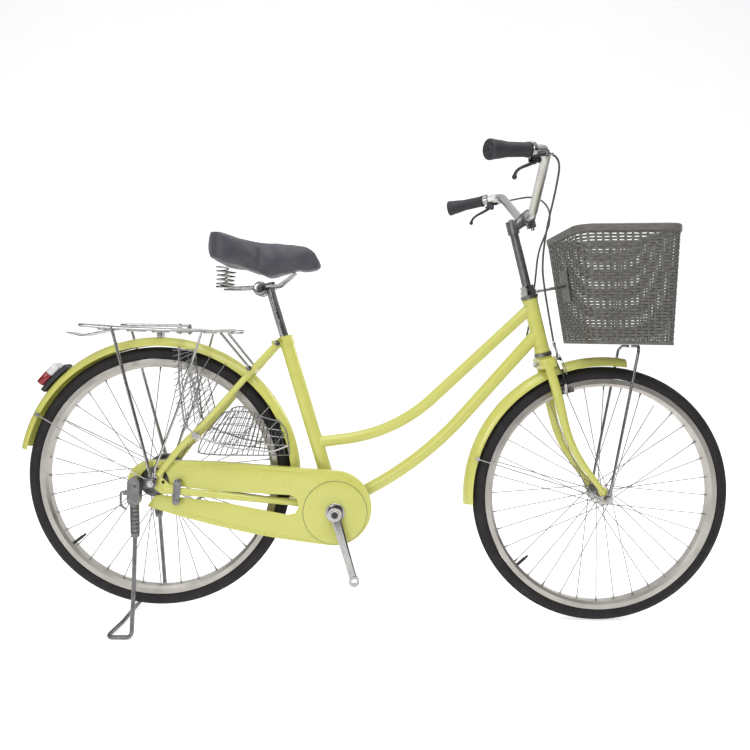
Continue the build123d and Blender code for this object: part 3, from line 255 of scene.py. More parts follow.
floorGlow.inputs["To Max"].default_value = studio["floorGlow"][1]
floorTree.links.new(floorSeen.outputs["Is Camera Ray"], floorGlow.inputs["Value"])
floorTree.links.new(floorGlow.outputs["Result"],
                    floorTree.nodes["Principled BSDF"].inputs["Emission Strength"])
print("finishes made:", len(finishes))

# which finish each carried-over node takes
nodeFinish = {
    "lemonEnamel": ("head_tube", "upper_tube", "lower_tube", "seat_tube", "bottom_bracket_shell",
                    "chain_stays", "seat_stays", "rear_mudguard", "front_mudguard", "chain_case",
                    "fork"),
    "castSteel": ("frame_fasteners", "rear_brake_drum", "band_brake_cover", "stand_brackets",
                  "headset_cups", "bottom_bracket_cups", "stand_legs", "chainring", "sprocket",
                  "chain", "stand_lock"),
    "brightChrome": ("rear_mudguard_stays", "front_mudguard_stays", "rack_frame", "rack_stays",
                     "rack_clip", "front_axle", "rear_axle", "steering_fasteners", "front_hub",
                     "rear_hub", "crank_arms", "crank_spindle", "brake_arm_right",
                     "brake_arm_left", "band_brake_arm", "dress_guards", "saddle_frame",
                     "seatpost"),
    "satinSteel": ("handlebar",),
    "darkChrome": ("basket_stays",),
    "castAlloy": ("stem",),
    "rimAlloy": ("front_rim", "rear_rim"),
    "spokeSteel": ("front_spokes", "rear_spokes"),
    "tyreRubber": ("front_tyre", "rear_tyre"),
    "gripRubber": ("grips",),
    "blackPlastic": ("brake_lever_brackets", "brake_lever_right", "brake_lever_left",
                     "tail_reflector_base"),
    "cableCover": ("front_brake_cable", "rear_brake_cable", "rear_cable_loop"),
    "basketPlastic": ("basket",),
    "saddleVinyl": ("saddle",),
    "redLens": ("tail_reflector_lens",),
}
for finishName, members in nodeFinish.items():
    for member in members:
        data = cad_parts[member].data
        data.materials.clear()
        data.materials.append(finishes[finishName])
print("nodes painted:", sum(len(m) for m in nodeFinish.values()))


# shop tools
def landPiece(bm, name, body, finishNames, stands=(), crease=38.0, flip=True):
    # turns a finished bmesh into a piece that rides on its body
    bmesh.ops.remove_doubles(bm, verts=bm.verts, dist=0.000002)
    if flip:
        bmesh.ops.recalc_face_normals(bm, faces=bm.faces)
    mesh = meshFrom(bm, name)
    smoothed(mesh, crease)
    for finishName in finishNames:
        mesh.materials.append(finishes[finishName])
    piece = placed(name, mesh)
    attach(piece, body)
    if stands:
        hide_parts(*stands)
    return piece


def addWire(bm, points, thick, order=3, steps=6, sides=2, closed=False, taper=None):
    # a round wire through a NURBS route
    curve = bpy.data.curves.new("wireRoute", "CURVE")
    curve.dimensions = "3D"
    line = curve.splines.new("NURBS")
    line.points.add(len(points) - 1)
    for knot, spot in zip(line.points, points):
        knot.co = (*spot, 1.0)
    if taper:
        for knot, share in zip(line.points, taper):
            knot.radius = share
    line.order_u = order
    line.use_cyclic_u = closed
    line.use_endpoint_u = not closed
    line.resolution_u = steps
    curve.bevel_depth = thick / 2
    curve.bevel_resolution = sides
    curve.use_fill_caps = True
    holder = placed("wireRoute", curve)
    bpy.context.view_layer.update()
    mesh = bpy.data.meshes.new_from_object(holder)
    before = len(bm.verts)
    bm.from_mesh(mesh)
    bm.verts.ensure_lookup_table()
    bpy.data.objects.remove(holder)
    bpy.data.curves.remove(curve)
    bpy.data.meshes.remove(mesh)
    return bm.verts[before:]


def addTurned(bm, profile, centre, axis, steps=32, closed=False):
    # (along, out) pairs spun round an axis
    axis = Vector(axis).normalized()
    out = axis.orthogonal().normalized()
    centre = Vector(centre)
    verts = [bm.verts.new(centre + axis * a + out * r) for a, r in profile]
    edges = [bm.edges.new(pair) for pair in zip(verts, verts[1:])]
    if closed:
        edges.append(bm.edges.new((verts[-1], verts[0])))
    bmesh.ops.spin(bm, geom=verts + edges, cent=centre, axis=axis, angle=math.tau, steps=steps,
                   use_merge=True)


def addRod(bm, start, end, radius, sides=12, farRadius=None):
    start, end = Vector(start), Vector(end)
    turn = (end - start).to_track_quat("Z", "Y").to_matrix().to_4x4()
    place = Matrix.Translation((start + end) / 2) @ turn
    made = bmesh.ops.create_cone(bm, cap_ends=True, segments=sides, radius1=radius,
                                 radius2=radius if farRadius is None else farRadius,
                                 depth=(end - start).length, matrix=place)
    return made["verts"]


def addBlock(bm, centre, size, turn=None, bevel=0.0008):
    place = Matrix.Translation(centre) @ (turn or Matrix.Identity(4)) @ Matrix.Diagonal((*size, 1.0))
    made = bmesh.ops.create_cube(bm, size=1.0, matrix=place)
    edges = list({e for v in made["verts"] for e in v.link_edges})
    bmesh.ops.bevel(bm, geom=edges, offset=bevel, offset_type="OFFSET", segments=2, profile=0.5,
                    material=-1, affect="EDGES", clamp_overlap=True)


def between(a, b, share):
    return Vector(a) + (Vector(b) - Vector(a)) * share


frontAxle = Vector((0.5750993, 0.0, 0.332))
rearAxle = Vector((-0.5579007, 0.0, 0.366))
crankAxle = Vector((-0.1099007, 0.0, 0.291))


def roundAxle(axle, radius, angle, y=0.0):
    turn = math.radians(angle)
    return Vector((axle.x + radius * math.cos(turn), y, axle.z + radius * math.sin(turn)))


# tyres: ribbed tread, blocks on the shoulders
tyreSet = {
    "middle": 0.3135, "half": 0.0185, "groove": 0.0013, "steps": 216, "blockDepth": -0.0012,
    "tread": ((0.0, 0), (0.0034, 0), (0.0038, 1), (0.0050, 1), (0.0054, 0), (0.0090, 0),
              (0.0094, 1), (0.0104, 1), (0.0108, 0), (0.0148, 0), (0.0166, 0)),
    "wall": ((0.0181, 0.3172), (0.0184, 0.3150), (0.01815, 0.3120), (0.0172, 0.3085),
             (0.01745, 0.3078), (0.0168, 0.3070), (0.0152, 0.3040), (0.0125, 0.3024)),
}


def buildTyre(name, axle, body, node):
    half = []
    for y, low in tyreSet["tread"]:
        r = tyreSet["middle"] + math.sqrt(tyreSet["half"] ** 2 - y * y) - low * tyreSet["groove"]
        half.append((y, r))
    half += list(tyreSet["wall"])
    section = half + [(-y, r) for y, r in reversed(half[1:])]
    bm = bmesh.new()
    addTurned(bm, section, axle, (0, 1, 0), tyreSet["steps"], closed=True)
    bmesh.ops.remove_doubles(bm, verts=bm.verts, dist=0.000002)
    bmesh.ops.recalc_face_normals(bm, faces=bm.faces)
    shoulder = []
    for face in bm.faces:
        spot = face.calc_center_median()
        if 0.0110 < abs(spot.y) < 0.0146:
            turn = math.atan2(spot.z - axle.z, spot.x - axle.x)
            if int(turn / math.tau * tyreSet["steps"] + tyreSet["steps"]) % 2 == 0:
                shoulder.append(face)
    bmesh.ops.inset_individual(bm, faces=shoulder, thickness=0.0006, depth=tyreSet["blockDepth"])
    landPiece(bm, name, body, ("tyreRubber",), (node,), crease=30.0, flip=False)


buildTyre("frontTyreTread", frontAxle, "front_wheel", "front_tyre")
buildTyre("rearTyreTread", rearAxle, "rear_wheel", "rear_tyre")
print("tyres built")

# spoke nipples, and the valves' black covers
nippleSet = {"count": 36, "rimRadius": 0.2818, "rimHalf": 0.003, "length": 0.012, "radius": 0.0019,
             "lean": 60.0, "valveInside": 0.2805}


def buildNipples(name, axle, body, flangeRadius, flanges):
    bm = bmesh.new()
    for index in range(nippleSet["count"]):
        hand = 1 if index % 2 == 0 else -1
        outside = 1 if (index // 2) % 2 == 0 else -1
        rimAngle = 360.0 * index / nippleSet["count"]
        foot = roundAxle(axle, nippleSet["rimRadius"], rimAngle, hand * nippleSet["rimHalf"])
        hub = roundAxle(axle, flangeRadius, rimAngle + outside * nippleSet["lean"], flanges[hand])
        way = (hub - foot).normalized()
        addRod(bm, foot - way * 0.001, foot + way * 0.004, nippleSet["radius"] * 1.25, 8)
        addRod(bm, foot + way * 0.004, foot + way * nippleSet["length"], nippleSet["radius"], 8,
               nippleSet["radius"] * 0.8)
    landPiece(bm, name, body, ("brightChrome",))


buildNipples("frontNipples", frontAxle, "front_wheel", 0.020, {1: 0.029, -1: -0.029})
buildNipples("rearNipples", rearAxle, "rear_wheel", 0.025, {1: 0.024, -1: -0.027})
for nodeName, axle in (("front_rim", frontAxle), ("rear_rim", rearAxle)):
    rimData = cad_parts[nodeName].data
    rimData.materials.append(finishes["blackPlastic"])
    for face in rimData.polygons:
        if math.hypot(face.center.x - axle.x, face.center.z - axle.z) < nippleSet["valveInside"]:
            face.material_index = 1
print("nipples and valves done")

# grips
gripSet = {
    "start": (0.29878, -0.24757, 1.13338), "way": (-0.893616, -0.427096, -0.137985),
    "ribs": 22, "ribStep": 0.003, "ribHeight": 0.0004,
    "shape": ((0.0, 0.0165), (0.008, 0.0150), (0.050, 0.0155), (0.082, 0.0190), (0.101, 0.0215),
              (0.105, 0.0200)),
}


def gripRadius(along):
    shape = gripSet["shape"]
    for (a, ra), (b, rb) in zip(shape, shape[1:]):
        if along <= b:
            share = (along - a) / (b - a)
            return ra + (rb - ra) * share * share * (3 - 2 * share)
    return shape[-1][1]


def buildGrip(name, hand):
    start = Vector(gripSet["start"])
    way = Vector(gripSet["way"])
    if hand > 0:
        start.y, way.y = -start.y, -way.y
    profile = [(0.0003, 0.0113), (0.0, 0.0155), (0.0012, gripRadius(0.0012)),
               (0.007, gripRadius(0.007))]
    for rib in range(gripSet["ribs"]):
        base = 0.010 + rib * gripSet["ribStep"]
        profile.append((base, gripRadius(base)))
        profile.append((base + 0.0006, gripRadius(base) - gripSet["ribHeight"]))
        profile.append((base + 0.0012, gripRadius(base) - gripSet["ribHeight"]))
        profile.append((base + 0.0018, gripRadius(base)))
    profile += [(a, gripRadius(a)) for a in (0.080, 0.086, 0.092, 0.097, 0.101, 0.1035)]
    profile += [(0.1047, 0.0190), (0.105, 0.0165), (0.105, 0.0040), (0.1042, 0.0030),
                (0.0985, 0.0028), (0.0985, 0.0)]
    bm = bmesh.new()
    addTurned(bm, profile, start, way, 40)
    landPiece(bm, name, "steering_group", ("gripRubber",),
              ("grips",) if hand < 0 else (), crease=50.0)


buildGrip("gripRight", -1)
buildGrip("gripLeft", 1)
print("grips built")

# brake levers
leverSet = {
    "down": (0.124496, 0.059502, -0.990434), "side": (0.431221, -0.902246, 0.0),
    "route": ((-0.022, 0.022, 1.0), (-0.010, 0.0275, 1.05), (0.006, 0.0325, 0.95),
              (0.022, 0.0368, 0.85), (0.034, 0.0430, 0.80), (0.0405, 0.0510, 0.85),
              (0.0418, 0.0560, 1.15)),
    "thick": 0.0078, "widen": 1.45,
}


def byGrip(along, down, side=0.0, hand=-1):
    spot = (Vector(gripSet["start"]) + Vector(gripSet["way"]) * along
            + Vector(leverSet["down"]) * down + Vector(leverSet["side"]) * side)
    return Vector((spot.x, spot.y if hand < 0 else -spot.y, spot.z))


def buildLever(name, hand, body, node):
    bm = bmesh.new()
    route = [byGrip(a, d, 0.0, hand) for a, d, share in leverSet["route"]]
    verts = addWire(bm, route, leverSet["thick"], steps=8, sides=3,
                    taper=[share for a, d, share in leverSet["route"]])
    side = Vector(leverSet["side"])
    if hand > 0:
        side.y = -side.y
    pivot = byGrip(-0.022, 0.022, 0.0, hand)
    for vert in verts:
        off = (vert.co - pivot).dot(side)
        vert.co += side * off * (leverSet["widen"] - 1.0)
    end = byGrip(0.0418, 0.0562, 0.0, hand)
    bmesh.ops.create_uvsphere(bm, u_segments=16, v_segments=10, radius=0.0056,
                              matrix=Matrix.Translation(end))
    addRod(bm, pivot - side * 0.0050, pivot + side * 0.0050, 0.0048, 20)
    landPiece(bm, name, body, ("blackPlastic",), (node,))


buildLever("leverBladeRight", -1, "lever_right", "brake_lever_right")
buildLever("leverBladeLeft", 1, "lever_left", "brake_lever_left")
bm = bmesh.new()
for hand in (-1, 1):
    way = Vector(gripSet["way"])
    if hand > 0:
        way.y = -way.y
    ring = byGrip(-0.009, 0.0, 0.0, hand)
    addTurned(bm, ((-0.0055, 0.0158), (-0.0048, 0.0166), (0.0048, 0.0166), (0.0055, 0.0158)),
              ring, way, 36)
    addRod(bm, byGrip(-0.009, 0.0145, -0.006, hand), byGrip(-0.009, 0.0195, -0.006, hand), 0.0042, 6)
landPiece(bm, "leverClampRings", "steering_group", ("brightChrome",))
print("levers built")

# brake cables: the routes' points are the spline's control points
shiftX = -0.5579007
slant = 0.014142
rearCableRoute = [
    (0.8807, slant, 0.6367), (0.6854, slant, 0.4118), (0.5000, slant, 0.3044), (0.4620, 0.026, 0.263),
    (0.4250, 0.036, 0.262), (0.3500, 0.040, 0.293), (0.1900, 0.056, 0.312), (0.1180, 0.060, 0.312),
    (0.0700, 0.060, 0.290)]
rearLoopRoute = [
    (0.9015, 0.2438, 1.1271), (0.9440, 0.218, 1.135), (0.9860, 0.160, 1.130), (1.0060, 0.100, 1.092),
    (1.0020, 0.062, 1.044), (0.9850, 0.045, 1.008), (0.9620, 0.033, 0.955), (0.9570, 0.029, 0.880),
    (0.9410, 0.027, 0.745), (0.9240, 0.024, 0.690), (0.8813, slant + 0.0002, 0.6374)]
frontCableRoute = [
    (0.9015, -0.2438, 1.1271), (0.9380, -0.222, 1.132), (0.9480, -0.150, 1.068),
    (0.9490, -0.090, 1.005), (0.9520, -0.046, 0.930), (0.9620, -0.027, 0.868), (0.9960, -0.014, 0.727)]
cableSet = {"thick": 0.005, "steps": 14}


def buildCable(name, route, node):
    bm = bmesh.new()
    addWire(bm, [(x + shiftX, y, z) for x, y, z in route], cableSet["thick"],
            steps=cableSet["steps"], sides=2)
    mesh = meshFrom(bm, name)
    smoothed(mesh, 50.0)
    mesh.materials.append(finishes["cableCover"])
    cable = placed(name, mesh)
    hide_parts(node)
    return cable


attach(buildCable("rearCable", rearCableRoute, "rear_brake_cable"), "frame")
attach(buildCable("frontCable", frontCableRoute, "front_brake_cable"), "steering_group")
loopCable = buildCable("rearCableLoop", rearLoopRoute, "rear_cable_loop")
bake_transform(loopCable)
bm = bmesh.new()
for route, hand in ((rearLoopRoute, 1), (frontCableRoute, -1)):
    a, b = Vector(route[0]), Vector(route[1])
    way = (b - a).normalized()
    a = a + Vector((shiftX, 0, 0))
    addRod(bm, a - way * 0.010, a + way * 0.004, 0.0036, 14)
    addRod(bm, a + way * 0.004, a + way * 0.014, 0.0031, 14)
    addRod(bm, a - way * 0.002, a + way * 0.001, 0.0050, 14)
landPiece(bm, "cableFerrules", "steering_group", ("brightChrome",))
print("cables laid")

# basket: strands woven round upright stakes
basketSet = {
    "lowCentre": (0.6030993, 0.0, 0.722), "lowSize": (0.210, 0.250),
    "topCentre": (0.5780993, 0.0, 1.005), "topSize": (0.261, 0.275), "tilt": 1.6,
    "corner": 0.042, "stakes": 56, "rows": 35, "strandHeight": 0.0053, "strandThick": 0.0013,
    "wave": 0.0020, "midWall": -0.0016, "stakeWidth": 0.0056, "stakeThick": 0.0015,
    "wallHigh": 0.283, "firstRow": 0.028, "rowSpan": 0.905,
    "floorReach": (0.1035, 0.1235), "floorStep": (0.0118, 0.0142), "floorTrim": (0.010, 0.012),
}


def roundedSpot(share, size, corner):
    # a point and its outward direction on a rounded rectangle
    halfX, halfY = size[0] / 2 - corner, size[1] / 2 - corner
    arc = math.pi / 2 * corner
    runs = ((halfY, 0), (arc, 1), (2 * halfX, 2), (arc, 3), (2 * halfY, 4), (arc, 5),
            (2 * halfX, 6), (arc, 7), (halfY, 8))
    left = (share % 1.0) * (4 * halfX + 4 * halfY + 4 * arc)
    for length, kind in runs:
        if left <= length or kind == 8:
            break
        left -= length
    t = left / corner
    if kind in (0, 8):
        y = left if kind == 0 else -halfY + left
        return Vector((halfX + corner, y, 0)), Vector((1, 0, 0))
    if kind == 2:
        return Vector((halfX - left, halfY + corner, 0)), Vector((0, 1, 0))
    if kind == 4:
        return Vector((-halfX - corner, halfY - left, 0)), Vector((-1, 0, 0))
    if kind == 6:
        return Vector((-halfX + left, -halfY - corner, 0)), Vector((0, -1, 0))
    quarter = (kind - 1) // 2
    centre = ((halfX, halfY), (-halfX, halfY), (-halfX, -halfY), (halfX, -halfY))[quarter]
    turn = quarter * math.pi / 2 + t
    way = Vector((math.cos(turn), math.sin(turn), 0))
    return Vector((*centre, 0)) + way * corner, way


tiltTurn = Matrix.Rotation(-math.radians(basketSet["tilt"]), 3, "Y")


def basketSpot(share, height, out=0.0):
    low, way = roundedSpot(share, basketSet["lowSize"], basketSet["corner"])
    top, way = roundedSpot(share, basketSet["topSize"], basketSet["corner"])
    foot = Vector(basketSet["lowCentre"]) + low
    head = Vector(basketSet["topCentre"]) + tiltTurn @ top
    return foot + (head - foot) * height + way * out


def addBasketGrid(bm, across, up, place):
    # a flat grid laid round the basket's wall
    verts = bmesh.ops.create_grid(bm, x_segments=across, y_segments=up, size=0.5)["verts"]
    for vert in verts:
        vert.co = place(vert.co.x + 0.5, vert.co.y + 0.5)
    return verts


def addBasketStrip(bm, across, up, place, thick):
    # a strip of the wall, given its thickness
    verts = addBasketGrid(bm, across, up, place)
    faces = list({f for v in verts for f in v.link_faces})
    bmesh.ops.remove_doubles(bm, verts=verts, dist=0.000002)
    faces = [f for f in faces if f.is_valid]
    bmesh.ops.recalc_face_normals(bm, faces=faces)
    bmesh.ops.solidify(bm, geom=faces, thickness=thick)


bm = bmesh.new()
for row in range(basketSet["rows"]):
    level = basketSet["firstRow"] + row * (basketSet["rowSpan"] / (basketSet["rows"] - 1))
    tall = basketSet["strandHeight"] / basketSet["wallHigh"]

    def strandPlace(u, v, level=level, row=row, tall=tall):
        wave = math.cos(math.pi * basketSet["stakes"] * u + row * math.pi)
        crown = 1.0 - 0.25 * (2 * v - 1) ** 2
        out = basketSet["midWall"] + basketSet["wave"] * wave * crown
        return basketSpot(u, level + (v - 0.5) * tall, out)

    addBasketStrip(bm, basketSet["stakes"] * 4, 2, strandPlace, basketSet["strandThick"])
landPiece(bm, "basketStrands", "steering_group", ("basketPlastic",),
          ("basket",), crease=50.0, flip=False)
bm = bmesh.new()
for stake in range(basketSet["stakes"]):
    middle = stake / basketSet["stakes"]
    wide = basketSet["stakeWidth"] / 0.924

    def stakePlace(u, v, middle=middle, wide=wide):
        return basketSpot(middle + (u - 0.5) * wide, 0.004 + v * 0.95,
                          basketSet["midWall"] + 0.0003 * (1 - (2 * u - 1) ** 2))

    addBasketStrip(bm, 2, 8, stakePlace, basketSet["stakeThick"])
landPiece(bm, "basketStakes", "steering_group", ("basketPlastic",),
          crease=50.0, flip=False)
bm = bmesh.new()
rimShape = ((-0.0040, -0.0168), (0.0012, -0.0168), (0.0022, -0.0160), (0.0024, -0.0140),
            (0.0022, -0.0030), (0.0014, -0.0008), (0.0, 0.0), (-0.0030, 0.0),
            (-0.0042, -0.0008), (-0.0048, -0.0030), (-0.0048, -0.0140), (-0.0046, -0.0160))


def rimPlace(u, v):
    out, down = rimShape[int(round(v * len(rimShape))) % len(rimShape)]
    return basketSpot(u, 1.0 + down / basketSet["wallHigh"], out)


addBasketGrid(bm, basketSet["stakes"] * 2, len(rimShape), rimPlace)


def footPlace(u, v):
    out, down = ((-0.0035, 0.0), (0.0, 0.0), (0.0, 0.008), (-0.0035, 0.008))[int(round(v * 4)) % 4]
    return basketSpot(u, down / basketSet["wallHigh"], out)


addBasketGrid(bm, basketSet["stakes"] * 2, 4, footPlace)
landPiece(bm, "basketRims", "steering_group", ("basketPlastic",), crease=45.0)
bm = bmesh.new()
centre = Vector(basketSet["lowCentre"])
for step in range(-8, 9):
    # the outer slats are shorter, round the corners
    reachX, reachY = (reach - trim * max(abs(step) - 5, 0)
                      for reach, trim in zip(basketSet["floorReach"], basketSet["floorTrim"]))
    stepX, stepY = (step * gap for gap in basketSet["floorStep"])
    addBlock(bm, centre + Vector((stepX, 0, 0.0022)), (0.0052, 2 * reachY, 0.0022), bevel=0.0004)
    addBlock(bm, centre + Vector((0, stepY, 0.0014)), (2 * reachX, 0.0056, 0.0022), bevel=0.0004)
landPiece(bm, "basketFloor", "steering_group", ("basketPlastic",))
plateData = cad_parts["basket_stays"].data
plateData.materials.append(finishes["basketPlastic"])
for face in plateData.polygons:
    if face.center.z > 0.80 and face.center.x > 0.455:
        face.material_index = 1
print("basket woven")

# saddle: a padded cover over its shell
saddleSet = {"voxel": 0.005, "shrink": 0.0045, "pressure": 4.0, "frames": 20, "cap": 0.008,
             "pinned": 0.886, "ends": (-0.4312, -0.1540),
             "topLine": ((-0.4312, 0.9400), (-0.4270, 0.9660), (-0.4150, 0.9800), (-0.3979, 0.9815),
                         (-0.3529, 0.9680), (-0.3029, 0.9605), (-0.2489, 0.9625), (-0.2200, 0.9620),
                         (-0.1960, 0.9585), (-0.1780, 0.9520), (-0.1660, 0.9415), (-0.1580, 0.9270),
                         (-0.1540, 0.9100)),
             "lowLine": ((-0.4312, 0.9300), (-0.4250, 0.9140), (-0.3990, 0.9060), (-0.3570, 0.9000),
                         (-0.3030, 0.8815), (-0.2850, 0.8765), (-0.2620, 0.8790), (-0.2140, 0.8920),
                         (-0.1850, 0.8920), (-0.1600, 0.8970), (-0.1540, 0.9060))}


def settled(piece):
    # the piece's mesh with its modifiers applied
    shape = bpy.data.meshes.new_from_object(
        piece.evaluated_get(bpy.context.evaluated_depsgraph_get()))
    piece.modifiers.clear()
    old = piece.data
    piece.data = shape
    bpy.data.meshes.remove(old)


def mergedCopy(name, node):
    bm = bmesh.new()
    bm.from_mesh(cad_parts[node].data)
    bmesh.ops.remove_doubles(bm, verts=bm.verts, dist=0.000005)
    mesh = meshFrom(bm, name)
    mesh.materials.clear()
    piece = placed(name, mesh)
    return piece


saddle = mergedCopy("saddleCover", "saddle")
remesh = saddle.modifiers.new("even", "REMESH")
remesh.mode = "VOXEL"
remesh.voxel_size = saddleSet["voxel"]
smooth = saddle.modifiers.new("soften", "SMOOTH")
smooth.factor = 0.5
smooth.iterations = 6
settled(saddle)
for vert in saddle.data.vertices:
    vert.co -= vert.normal * saddleSet["shrink"]
before = [v.co.copy() for v in saddle.data.vertices]
held = saddle.vertex_groups.new(name="held")
held.add([v.index for v in saddle.data.vertices if v.co.z < saddleSet["pinned"]], 1.0, "REPLACE")
swell = saddle.modifiers.new("swell", "CLOTH")
swell.settings.quality = 6
swell.settings.use_pressure = True
swell.settings.uniform_pressure_force = saddleSet["pressure"]
swell.settings.vertex_group_mass = "held"
swell.settings.effector_weights.gravity = 0.0
for moment in range(1, saddleSet["frames"] + 1):
    scene.frame_set(moment)
settled(saddle)
scene.frame_set(1)
for vert, old in zip(saddle.data.vertices, before):
    step = vert.co - old
    if step.length > saddleSet["cap"]:
        vert.co = old + step.normalized() * saddleSet["cap"]

# the swollen cover is fitted back to the saddle's side outline
lowX, highX = min(v.co.x for v in saddle.data.vertices), max(v.co.x for v in saddle.data.vertices)
for vert in saddle.data.vertices:
    share = (vert.co.x - lowX) / (highX - lowX)
    vert.co.x = saddleSet["ends"][0] + share * (saddleSet["ends"][1] - saddleSet["ends"][0])
slices = 30
width = (saddleSet["ends"][1] - saddleSet["ends"][0]) / slices
tops, bottoms = [None] * (slices + 1), [None] * (slices + 1)
for index in range(slices + 1):
    middle = saddleSet["ends"][0] + index * width
    near = [v.co.z for v in saddle.data.vertices if abs(v.co.x - middle) < width * 0.8]
    tops[index], bottoms[index] = max(near), min(near)


def outlineAt(route, x):
    for (ax, az), (bx, bz) in zip(route, route[1:]):
        if x <= bx or (bx, bz) == route[-1]:
            return az + (bz - az) * min(max((x - ax) / (bx - ax), 0.0), 1.0)


for vert in saddle.data.vertices:
    place = min(max((vert.co.x - saddleSet["ends"][0]) / width, 0.0), slices - 0.001)
    index, share = int(place), place - int(place)
    top = tops[index] + (tops[index + 1] - tops[index]) * share
    bottom = bottoms[index] + (bottoms[index + 1] - bottoms[index]) * share
    high = outlineAt(saddleSet["topLine"], vert.co.x)
    low = outlineAt(saddleSet["lowLine"], vert.co.x)
    vert.co.z = low + (vert.co.z - bottom) / max(top - bottom, 0.004) * (high - low)
soften = saddle.modifiers.new("soften", "SMOOTH")
soften.factor = 0.5
soften.iterations = 7
finer = saddle.modifiers.new("finer", "SUBSURF")
finer.levels = finer.render_levels = 1
settled(saddle)
smoothed(saddle.data)
saddle.data.materials.append(finishes["saddleVinyl"])
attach(saddle, "seat")
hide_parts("saddle")
print("saddle padded:", len(saddle.data.vertices), "points")

# saddle frame: coil springs, rails, toothed clamp
clampSet = {"place": (-0.30421, 0.0, 0.84746), "post": (-0.27966, 0.0, 0.84246),
            "neck": (-0.28613, 0.0, 0.86349), "teeth": 24, "toothSide": 0.024254}
springSet = {"place": (-0.3929, 0.045), "low": 0.8515, "high": 0.8975, "turns": 4.5, "coil": 0.0148,
             "wire": 0.0042}
bm = bmesh.new()
for hand in (-1, 1):
    coil = []
    count = int(springSet["turns"] * 12)
    for knot in range(count + 1):
        turn = math.tau * knot / 12
        rise = springSet["low"] + (springSet["high"] - springSet["low"]) * knot / count
        bend = springSet["coil"] * (0.88 + 0.12 * math.cos(math.pi * knot / count) ** 2)
        coil.append((springSet["place"][0] + bend * math.cos(turn),
                     hand * (springSet["place"][1] + bend * math.sin(turn)), rise))
    addWire(bm, coil, springSet["wire"], steps=3, sides=2)
    cup = (springSet["place"][0], hand * springSet["place"][1], 0.846)
    addTurned(bm, ((0.0, 0.0), (0.0, 0.0150), (0.0008, 0.0166), (0.0040, 0.0168), (0.0040, 0.0156),
                   (0.0022, 0.0148), (0.0022, 0.0)), cup, (0, 0, 1), 32)
    addRod(bm, (cup[0], cup[1], 0.8482), (cup[0], cup[1], 0.8535), 0.0062, 6)
    rail = [(-0.2179, 0.010, 0.889), (-0.2330, 0.0166, 0.8766), (-0.2499, 0.0241, 0.8626),
            (-0.2579, 0.02755, 0.856), (-0.2700, 0.02755, 0.8550), (-0.3100, 0.02755, 0.8518),
            (-0.3450, 0.02755, 0.8490), (-0.3579, 0.02755, 0.848), (-0.3700, 0.0335, 0.8484),
            (-0.3929, 0.045, 0.849)]
    addWire(bm, [(x, hand * y, z) for x, y, z in rail], 0.007, steps=6, sides=3)
landPiece(bm, "saddleSprings", "seat", ("brightChrome",), ("saddle_frame",))
bm = bmesh.new()
centre = Vector(clampSet["place"])
addTurned(bm, ((-0.0240, 0.0), (-0.0240, 0.0172), (-0.0232, 0.0180), (-0.0150, 0.0180),
               (-0.0142, 0.0172), (0.0142, 0.0172), (0.0150, 0.0180), (0.0232, 0.0180),
               (0.0240, 0.0172), (0.0240, 0.0)), centre, (0, 1, 0), 48)
for tooth in range(clampSet["teeth"]):
    turn = math.tau * tooth / clampSet["teeth"]
    reach = Vector((math.cos(turn), 0, math.sin(turn)))
    for side in (-clampSet["toothSide"], clampSet["toothSide"]):
        addBlock(bm, centre + reach * 0.0148 + Vector((0, side, 0)), (0.0046, 0.0016, 0.0016),
                 Matrix.Rotation(-turn, 4, "Y"), 0.0003)
for hand in (-1, 1):
    addTurned(bm, ((0.0311, 0.0), (0.0311, 0.0152), (0.0318, 0.0160), (0.0330, 0.0158),
                   (0.0341, 0.0130), (0.0345, 0.0090), (0.0345, 0.0)), centre, (0, hand, 0), 40)
    for near, far, radius, sides in ((0.0340, 0.0392, 0.0074, 6), (0.0390, 0.0408, 0.0040, 16)):
        addRod(bm, centre + Vector((0, hand * near, 0)), centre + Vector((0, hand * far, 0)), radius, sides)
postWay = (Vector(clampSet["neck"]) - Vector(clampSet["post"])).normalized()
addTurned(bm, ((0.0004, 0.0112), (0.0004, 0.0142), (0.0014, 0.0150), (0.0200, 0.0150),
               (0.0214, 0.0142), (0.0214, 0.0112)), clampSet["post"], postWay, 40)
landPiece(bm, "saddleClamp", "seat", ("darkChrome",))
print("saddle frame built")

# dress guards: wire panels between the rear mudguard and the stays
guardSet = {
    "edge": 0.339, "edgeSide": 0.0286, "swell": 0.30, "widest": 0.0765,
    "wire": 0.0022, "border": 0.0034, "inside": -0.0022,
    "backLeft": ((-0.5195, 0.6981), (-0.5135, 0.6480), (-0.5065, 0.5924), (-0.4960, 0.5350),
                 (-0.4833, 0.4816)),
    "backRight": ((-0.4642, 0.6920), (-0.4570, 0.6500), (-0.4498, 0.6087), (-0.4430, 0.5680),
                  (-0.4361, 0.5284)),
    "frontTop": ((-0.3900, 0.5372), (-0.3780, 0.5420), (-0.3661, 0.5432), (-0.3204, 0.5408),
                 (-0.2900, 0.5253), (-0.2543, 0.5160)),
    "frontLow": ((-0.4450, 0.4440), (-0.4366, 0.4400), (-0.3900, 0.4372), (-0.3460, 0.4354),
                 (-0.2870, 0.4322), (-0.2278, 0.4310)),
    "frontCorner": ((-0.2543, 0.5160), (-0.2400, 0.5020), (-0.2320, 0.4800), (-0.2278, 0.4310)),
    "backCorner": ((-0.3900, 0.5372), (-0.4100, 0.5100), (-0.4380, 0.4780), (-0.4450, 0.4440)),
    "backWires": 15, "frontWires": 17, "slope": 0.16,
}


